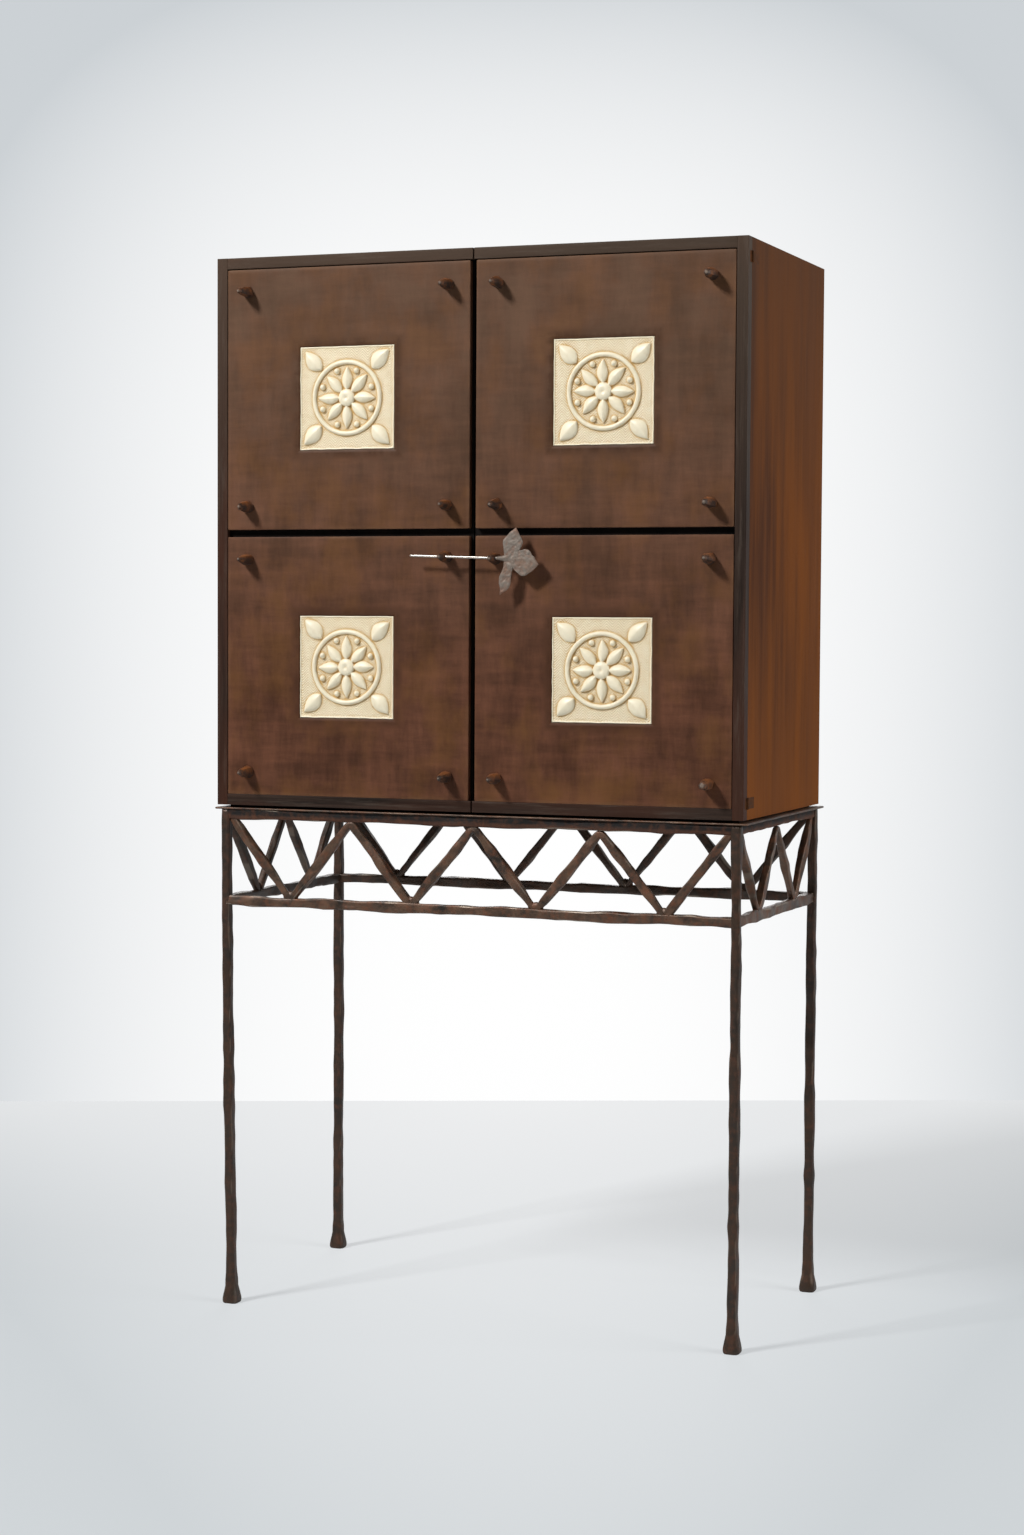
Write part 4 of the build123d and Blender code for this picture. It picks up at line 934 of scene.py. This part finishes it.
def hammered_section(along, half_u, half_v, round_off, twist, pitch, depth, seed):
    """Loops of a hammered bar: a rounded rectangle whose half widths swell and narrow by depth,
    turned by up to twist, with dents between the blows, and swayed by half of depth. Returns u
    and v across the bar, and a mark in patches where a blow has left them bright: on the corners
    it is wear, and on the face towards +v, the top of rails and struts, a painted highlight."""
    out_u, out_v = loop_template(*BAR_STEPS)[2:]
    lattice = np.arange(len(out_u)) * 12 / len(out_u)
    dent = 0.35 * column(depth) * dents(lattice, column(along) / (pitch * 0.5), seed + 7, 12)
    half_u = column(half_u + depth * hammering(along, pitch, seed))
    half_v = column(half_v + depth * hammering(along, pitch, seed + 2))
    u, v = rounded_loops(BAR_STEPS, half_u, half_v, round_off, dent)
    turn = column(twist * ripple(along, pitch * 1.3, seed + 8))
    sway_u, sway_v = [column(0.5 * depth * ripple(along, pitch * 1.7, seed + step)) for step in (4, 5)]
    cap = ends_closed(len(along))
    # Lighter patches where blows fall: wear on the corners, and on the +v face a painted highlight for the
    # light that the hammered top catches.
    struck = 0.9 * smooth((column(ripple(along, pitch * 0.6, seed + 9)) - 0.2) / 0.4)
    wear_and_highlight = struck * np.maximum(2 * np.abs(out_u * out_v), 0.6 * (out_v > 0.99))
    across = cap * (u * np.cos(turn) - v * np.sin(turn)) + sway_u
    return across, cap * (v * np.cos(turn) + u * np.sin(turn)) + sway_v, wear_and_highlight


def bent_path(corners, step, bend):
    """Points every step along straight runs between corners, each averaged over the bend."""
    corners = np.array(corners, float)
    ends = join([0], np.cumsum(np.linalg.norm(np.diff(corners, axis=0), axis=1)))
    along = np.linspace(0, ends[-1], max(8, int(ends[-1] / step)))
    path = np.stack([np.interp(along, ends, corners[:, axis]) for axis in range(3)], axis=-1)
    reach = int(bend / step)
    if not reach:
        return path, along
    padded = np.vstack([2 * path[0] - path[reach:0:-1], path, 2 * path[-1] - path[-2 : -reach - 2 : -1]])
    window = np.ones(2 * reach + 1) / (2 * reach + 1)
    return np.stack([np.convolve(padded[:, axis], window, mode="valid") for axis in range(3)], axis=-1), along


def forged_bar(corners, side_u, half_u, half_v, seed, pitch, depth, twist, size=None, bend=0.0, calm=0.0):
    """A hammered bar along straight runs between corners, bent round each over bend. size(share)
    scales its section along the bar, and calm is how far from each end the hammering fades in."""
    spine, along = bent_path(corners, 3.5 * MM, bend)
    forward = np.gradient(spine, axis=0)
    side_v = np.cross(forward / np.linalg.norm(forward, axis=1)[:, None], side_u)
    rows = join([0], np.arange(len(along)), [len(along) - 1])
    spine, along, side_v = spine[rows], along[rows], side_v[rows]
    scale = size(along / along[-1]) if size else 1
    round_off = column(BAR_CORNER * (1.1 + 0.4 * ripple(along, pitch * 0.6, seed + 6)))
    beat = depth * (smooth(np.minimum(along, along[-1] - along) / calm) if calm else 1 + 0 * along)
    u, v, wear_and_highlight = hammered_section(along, half_u * scale, half_v * scale, round_off, twist, pitch, beat, seed)
    x, y, z = [spine[:, [axis]] + u * side_u[axis] + v * side_v[:, [axis]] for axis in range(3)]
    return grid_of(x, y, z), wear_and_highlight


def weld(middle, half, seed):
    """A lump where forged bars run together: a ball of the given half sizes, dented."""
    tilt = column(np.linspace(0, math.pi, 10))
    turn, swell = dented_ring(tilt * 2, seed)
    x, y = np.sin(tilt) * np.cos(turn) * swell * half[0], np.sin(tilt) * np.sin(turn) * swell * half[1]
    return grid_of(middle[0] + x, middle[1] + y, middle[2] + np.cos(tilt) * swell * half[2])


def half_strut_size(share):
    """Narrow at both ends, full between: 0.84 + 0.28 * sin(pi * share) ** 0.8."""
    return 0.84 + 0.28 * np.sin(math.pi * np.clip(share, 0, 1)) ** 0.8


def strut_size(share):
    """Two struts in one bar: narrow at both feet and at the bend between them."""
    return half_strut_size((2 * share) % 1)


BAR_CORNER, BAR_STEPS = 1.8 * MM, (2, 4)
LEG_ROWS = 140
LEG_CORNER, FOOT_CORNER = 2.6 * MM, 6 * MM
LEG_HEIGHTS = np.array([0, 1.5, 4, 8, 13, 19, 27, 37, 48]) * MM
FOOT_FLARE = np.array([11.0, 12.2, 12.7, 12.6, 11.9, 10.8, 9.4, 8.3, 7.5, 7.1, 6.9]) * MM
LEGS_ASIDE = {"front_left": -1 * MM, "front_right": 0, "back_left": 1 * MM, "back_right": 2 * MM}
LEG_INTO_RAIL = 8 * MM
LEANING_FOOT = 15 * MM
RAIL_HALF, RAIL_END = 5.9 * MM, 7 * MM
RAIL_TALL = {"upper": 7.7 * MM, "lower": 7.5 * MM}
RAIL_RISE = {"upper": 0.7 * MM, "lower": 0}
STRUT_HALF = 5.1 * MM, 6.0 * MM
FACES = {"front": (0, 4), "back": (0, 4), "left": (1, 2), "right": (1, 2)}
WELD_LONG, WELD_DEEP, WELD_TALL = 13 * MM, 4.6 * MM, 8 * MM
PLATE_STEPS, PLATE_CORNER = (3, 120), 3 * MM


def leg_grid(low, high, knee, top_x, foot_x, seed, pitch, depth):
    """A leg: a hammered square bar from the plate down to the knee, then leaning to its foot,
    which flares like a drop over its last 55 mm and turns in again to a flat sole."""
    length = high.z - low.z
    height = join([0], LEG_HEIGHTS, np.linspace(0.058, length, LEG_ROWS), [length])
    flare = np.interp(height, [*LEG_HEIGHTS, 0.058, length], FOOT_FLARE)
    calm = smooth((height - 0.02) / 0.06)
    round_off = np.where(height < 0.03, FOOT_CORNER, LEG_CORNER)
    round_off = column(round_off + 0.8 * MM * ripple(height, pitch * 0.6, seed + 6))
    blows = 0.12 * calm, pitch, depth * calm, seed
    u, v, wear_and_highlight = hammered_section(height, flare, flare, round_off, *blows)
    spine_x = top_x + (foot_x - top_x) * np.clip((knee - height) / knee, 0, 1)
    return grid_of(column(spine_x) + u, (low.y + high.y) / 2 + v, low.z + column(height)), 0.25 * wear_and_highlight


def stand_iron(iron, tone):
    """The stand's iron, made once for each tone, lit and shaded copies of one iron: dark, painted
    shade, for its back and legs, warm, painted lighter, for its front, its right side and the
    plate, and black and duller for the upper rails, painted shadow of the plate above them."""
    name = f"waxed_wrought_iron_{tone}"
    tones = {
        "dark": (iron.scale_colour, iron.shaded_brown, iron.dark_rust, 0.44),
        "warm": (iron.scale_colour, iron.front_lit_brown, iron.rust_colour, 0.44),
        # The upper rails' copy, painted black for the shadow of the plate above them.
        "plate_shadow": (iron.plate_shadow_black, iron.plate_shadow_brown, iron.dark_rust, 0.75),
    }
    return bpy.data.materials.get(name) or iron_material(name, *tones[tone], 0.35, iron.bare_and_highlight_colour)


class CABINET_OT_legs(bpy.types.Operator):
    """Forge the four legs and their feet"""

    bl_idname = "cabinet.legs"
    bl_label = "Legs"

    def execute(self, context):
        iron = context.scene.cabinet_iron
        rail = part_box("front_lower_rail")[0]
        for index, (place, aside) in enumerate(LEGS_ASIDE.items()):
            node = f"{place}_leg"
            low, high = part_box(node)
            top_x = (-1 if "left" in place else 1) * (abs(rail.x) + LEG_INTO_RAIL) + aside
            foot_x = high.x - LEANING_FOOT if place == "front_left" else (low.x + high.x) / 2 + aside
            blows = 201 + 20 * index, iron.hammer_pitch * 0.9, iron.hammer_depth
            sheet = leg_grid(low, high, rail.z, top_x, foot_x, *blows)
            # The legs get the darker copy, painted shade.
            lay(node, f"{node}_forged", [sheet], stand_iron(iron, "dark"), "forged_iron", ("wear_and_highlight",))
        return {"FINISHED"}


class CABINET_OT_rails(bpy.types.Operator):
    """Forge the rails and the zigzag struts between them"""

    bl_idname = "cabinet.rails"
    bl_label = "Rails and struts"

    def execute(self, context):
        iron = context.scene.cabinet_iron
        pitch, depth = iron.hammer_pitch, iron.hammer_depth
        seed = 400
        for face, (axis, pairs) in FACES.items():
            side_u = (axis, 1 - axis, 0)
            # Lit and shaded copies: the front and right faces get the lighter warm iron, the back and left
            # the darker one, as painted light and shade.
            skin = stand_iron(iron, "warm" if face in ("front", "right") else "dark")
            for level in ("upper", "lower"):
                seed += 20
                node = f"{face}_{level}_rail"
                low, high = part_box(node)
                start, end = (low + high) / 2, (low + high) / 2
                start[axis], end[axis] = low[axis] - RAIL_END, high[axis] + RAIL_END
                start.z, end.z = start.z + RAIL_RISE[level], end.z + RAIL_RISE[level]
                section = RAIL_HALF, RAIL_TALL[level], seed, pitch, depth * 1.5, 0.2
                bar, wear_and_highlight = forged_bar([start, end], side_u, *section, calm=25 * MM)
                upper = level == "upper"
                # A rust-brown band along the upper rails' lower edge, below the plate's painted shadow:
                # partly rust, partly painted light.
                rust_and_painted_light = 0.6 * smooth((start.z - 0.5 * MM - bar[..., 2]) / (4 * MM)) * upper
                tone = stand_iron(iron, "plate_shadow") if upper else skin
                sheets, marks = [(bar, wear_and_highlight, rust_and_painted_light)], ("wear_and_highlight", "rust_and_painted_light")
                lay(node, f"{node}_forged", sheets, tone, "forged_iron", marks)
            node = f"{face}_struts"
            low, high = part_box(node)
            span = (high[axis] - low[axis]) / pairs
            foot, sheets = low.z - 4 * MM, []
            for index in range(pairs + 1):
                seed += 20
                top = low[axis] + index * span
                whole = 0 < index < pairs
                height = high.z + (-1 if whole else 3) * MM
                run = [(top - span / 2, foot), (top, height), (top + span / 2, foot)]
                run = run[index == 0 : 2 + (index < pairs)]
                corners = [(low + high) / 2 for _ in run]
                for point, (across, up) in zip(corners, run):
                    point[axis], point.z = across, up
                size = strut_size if whole else half_strut_size
                blows = seed, pitch * 0.8, depth * 1.2
                bar, wear_and_highlight = forged_bar(corners, side_u, *STRUT_HALF, *blows, 0.3, size, 9 * MM)
                sheets.append((bar, 0.45 * wear_and_highlight))
                if index < pairs:
                    lump = (low + high) / 2
                    lump[axis], lump.z = top + span / 2, low.z + 2 * MM
                    half = [WELD_DEEP, WELD_DEEP, WELD_TALL]
                    half[axis] = WELD_LONG
                    sheets.append((weld(lump, half, seed), 0))
            lay(node, f"{face}_zigzag_forged", sheets, skin, "forged_iron", ("wear_and_highlight",))
        return {"FINISHED"}


class CABINET_OT_plate(bpy.types.Operator):
    """Forge the plate that the cabinet stands on: rounded rectangles up its edge, which is eased
    by 1.2 mm above and below and nibbled by up to 1.4 mm, closed at a point on both faces"""

    bl_idname = "cabinet.plate"
    bl_label = "Plate"

    def execute(self, context):
        low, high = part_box("stand_plate")
        inset = column([0, 1.2, 0.3, 0, 0, 0.3, 1.2, 0]) * MM
        height = column([0, 0, 0.2, 0.4, 0.6, 0.8, 1, 1]) * (high.z - low.z)
        count = len(loop_template(*PLATE_STEPS)[0])
        nibble = 0.7 * MM * (dents(np.arange(count) * 90 / count, column(0 * height), 77, 90) - 1)
        half, middle = (high - low) / 2, (low + high) / 2
        x, y = rounded_loops(PLATE_STEPS, half.x - inset, half.y - inset, PLATE_CORNER, nibble)
        keep = ends_closed(len(height))
        points = grid_of(middle.x + x * keep, middle.y + y * keep, low.z + height)
        iron = stand_iron(context.scene.cabinet_iron, "warm")
        lay("stand_plate", "stand_plate_forged", [(points,)], iron, "forged_iron")
        return {"FINISHED"}


class CABINET_OT_fittings(bpy.types.Operator):
    """Finish the hinges, screws, nails and shelf pins"""

    bl_idname = "cabinet.fittings"
    bl_label = "Fittings"

    def execute(self, context):
        stained = [linear(tone) for tone in ("#35200F", "#4F301B", "#63391C")]
        hinge = iron_material("stained_over_iron_hinge", *stained, 0.7, 0.0, shine=0.1)
        grey = linear("#8C8781"), linear("#6A5E54")
        bright = steel_material("plain_steel_fixing", *grey, 0.35, (300, 300, 300))
        dress(hinge, "hinge_pins")
        for part in ("carcass", "left_door", "right_door"):
            dress(hinge, f"{part}_hinge_plates", f"{part}_hinge_screws")
        dress(bright, "back_panel_nails", "shelf_pins", "plate_screws")
        return {"FINISHED"}


# ---- studio -------------------------------------------------------------------------
VIEW_YAW = 0.3674
VIEW_PITCH = 0.0533
VIEW_ROLL = 0.0053
CAMERA_PLACE = (1.57947, -4.13591, 1.07807)
LENS = 66.30
FLOOR_HALF = 9
SEAM = 1.83
SEAM_SLOPE = 0.037
SEEN_SHARE = 0.66
LAMP_TARGET = (0, 0, 0.95)
AHEAD = Vector((-math.sin(VIEW_YAW), math.cos(VIEW_YAW), 0))
ASIDE = Vector((math.cos(VIEW_YAW), math.sin(VIEW_YAW), 0))


def lamp(name, place, watts, size):
    """A square soft lamp at a place, turned to the cabinet."""
    data = bpy.data.lights.new(name, "AREA")
    data.energy, data.size = watts, size
    light = new_piece(name, data)
    light.location = place
    light.rotation_euler = (Vector(LAMP_TARGET) - Vector(place)).to_track_quat("-Z", "Y").to_euler()


class CABINET_OT_studio(bpy.types.Operator):
    """Set up the camera, the pale floor, the backdrop and the lamps"""

    bl_idname = "cabinet.studio"
    bl_label = "Studio"

    def execute(self, context):
        scene = context.scene
        studio = scene.cabinet_studio
        scene.view_settings.view_transform = "Standard"
        forward = AHEAD * math.cos(VIEW_PITCH) - Vector((0, 0, math.sin(VIEW_PITCH)))
        up = ASIDE.cross(forward)
        right, up = (
            ASIDE * math.cos(VIEW_ROLL) + up * math.sin(VIEW_ROLL),
            up * math.cos(VIEW_ROLL) - ASIDE * math.sin(VIEW_ROLL),
        )
        data = bpy.data.cameras.new("camera")
        data.lens, data.sensor_width = LENS, 36
        camera = new_piece("camera", data)
        turn = Matrix((right, up, -forward)).transposed().to_4x4()
        camera.matrix_world = Matrix.Translation(CAMERA_PLACE) @ turn
        scene.camera = camera

        far = FLOOR_HALF * SEAM_SLOPE
        places = (-1, -FLOOR_HALF), (1, -FLOOR_HALF), (1, SEAM + far), (-1, SEAM - far)
        corners = [tuple(ASIDE * FLOOR_HALF * side + AHEAD * away) for side, away in places]
        ground = bpy.data.meshes.new("studio_floor")
        ground.from_pydata(corners, [], [(0, 1, 2, 3)])
        ground.materials.append(floor_material(studio))
        new_piece("studio_floor", ground)
        backdrop(scene, studio)
        lamp("key_lamp", (-2.35, -3.7, 4.5), studio.key_power, 0.9)
        lamp("side_lamp", (3.6, -0.2, 2.2), studio.side_power, 2.0)
        lamp("back_lamp", (-1.4, 4.2, 2.6), studio.back_power, 2.0)
        return {"FINISHED"}


def floor_material(studio):
    """Matt painted floor that takes the shadows, and for the eye a share of glow in the same pale
    tone, which darkens with the distance from the backdrop and towards the front corners: a
    painted fall-off of the light. The distance is that from the seam, with places to the side
    counted at 0.84."""
    material, add, place = new_material("pale_studio_floor")
    ground = add("VectorRotate", Vector=place, Angle=-VIEW_YAW, rotation_type="Z_AXIS")
    ground = add("Mapping", ground, (0, SEAM, 0), Scale=(0.84, -1, 0))
    reach = add("VectorMath", ground, operation="LENGTH")
    aside = add("SeparateXYZ", ground, out="X")
    aside = add("Math", aside, aside, operation="MULTIPLY")
    corner = add("Math", aside, add("SeparateXYZ", ground, out="Y"), operation="MULTIPLY")
    near = add("MapRange", reach, 0.1, 3.6)
    far = add("Math", corner, 0.55, near, operation="MULTIPLY_ADD", use_clamp=True)
    tone = tinted(add, studio.floor_colour, [(far, studio.floor_painted_falloff)])
    matt = add("BsdfDiffuse", Color=tone)
    glow = add("Emission", Color=tone, Strength=1)
    share = add("Math", add("LightPath", out="Is Camera Ray"), SEEN_SHARE, operation="MULTIPLY")
    add("OutputMaterial", add("MixShader", share, matt, glow))
    return material


def backdrop(scene, studio):
    """The world: an even soft light, and for the eye, gloss and glass a backdrop that glows
    white straight behind the cabinet and falls off to pale grey round it, as
    |across / 0.168| ** 2.6 + |(height + 0.065) / 0.26| ** 4.5 on directions of length 1. What
    gloss sees of it is dimmer behind the camera."""
    world = bpy.data.worlds.new("soft_studio")
    scene.world = world
    world.use_nodes = True
    world.node_tree.nodes.clear()
    add = partial(add_node, world.node_tree)
    way = add("TexCoord", out="Generated")
    ahead = add("VectorMath", way, tuple(AHEAD), operation="DOT_PRODUCT")
    across = add("VectorMath", way, tuple(ASIDE), operation="DOT_PRODUCT")
    height = add("Math", add("SeparateXYZ", way, out="Z"), 0.065, operation="ADD")
    falls = []
    for distance, half, power_of in ((across, 0.168, 2.6), (height, 0.26, 4.5)):
        distance = add("Math", add("Math", distance, half, operation="DIVIDE"), operation="ABSOLUTE")
        falls.append(add("Math", distance, power_of, operation="POWER"))
    fall = add("Math", *falls, operation="ADD")
    fall = add("Math", fall, add("MapRange", ahead, 0.3, 0.6, 2, 0), operation="ADD")
    share = add("MapRange", fall, 0, 1.6)
    tone = tinted(add, studio.backdrop_glow, [(share, studio.backdrop_edge)])
    camera = add("LightPath", out="Is Camera Ray")
    dim = add("Math", add("MapRange", ahead, -0.4, 0.95, 0.12, 0.9), camera, operation="MAXIMUM")
    seen = add("Background", Color=tone, Strength=dim)
    lit = add("Background", Color=(0.96, 0.98, 1.0, 1.0), Strength=studio.sky)
    eye = add("Math", camera, add("LightPath", out="Is Glossy Ray"), operation="MAXIMUM")
    eye = add("Math", eye, add("LightPath", out="Is Transmission Ray"), operation="MAXIMUM")
    add("OutputWorld", add("MixShader", eye, lit, seen))


# ---- the add-on ---------------------------------------------------------------------
GROUPS = {
    "cabinet_wood": WoodFinish,
    "cabinet_iron": IronFinish,
    "cabinet_tiles": TileFinish,
    "cabinet_studio": StudioLight,
}
OPERATORS = (
    CABINET_OT_studio,
    CABINET_OT_boards,
    CABINET_OT_panels,
    CABINET_OT_tiles,
    CABINET_OT_pegs,
    CABINET_OT_lock_pin,
    CABINET_OT_plate,
    CABINET_OT_legs,
    CABINET_OT_rails,
    CABINET_OT_fittings,
)


class CABINET_PT_sidebar(bpy.types.Panel):
    """The cabinet's pieces and settings"""

    bl_label = "Cabinet"
    bl_idname = "CABINET_PT_sidebar"
    bl_space_type = "VIEW_3D"
    bl_region_type = "UI"
    bl_category = "Cabinet"

    def draw(self, context):
        for operator in OPERATORS:
            self.layout.operator(operator.bl_idname)
        for name, group in GROUPS.items():
            box = self.layout.box()
            for setting in group.__annotations__:
                box.prop(getattr(context.scene, name), setting)


def register():
    for name, group in GROUPS.items():
        bpy.utils.register_class(group)
        setattr(bpy.types.Scene, name, PointerProperty(type=group))
    for item in (*OPERATORS, CABINET_PT_sidebar):
        bpy.utils.register_class(item)


def unregister():
    for item in (CABINET_PT_sidebar, *reversed(OPERATORS)):
        bpy.utils.unregister_class(item)
    for name, group in GROUPS.items():
        delattr(bpy.types.Scene, name)
        bpy.utils.unregister_class(group)


def main():
    register()
    for operator in OPERATORS:
        category, name = operator.bl_idname.split(".")
        getattr(getattr(bpy.ops, category), name)()


if __name__ == "__main__":
    main()
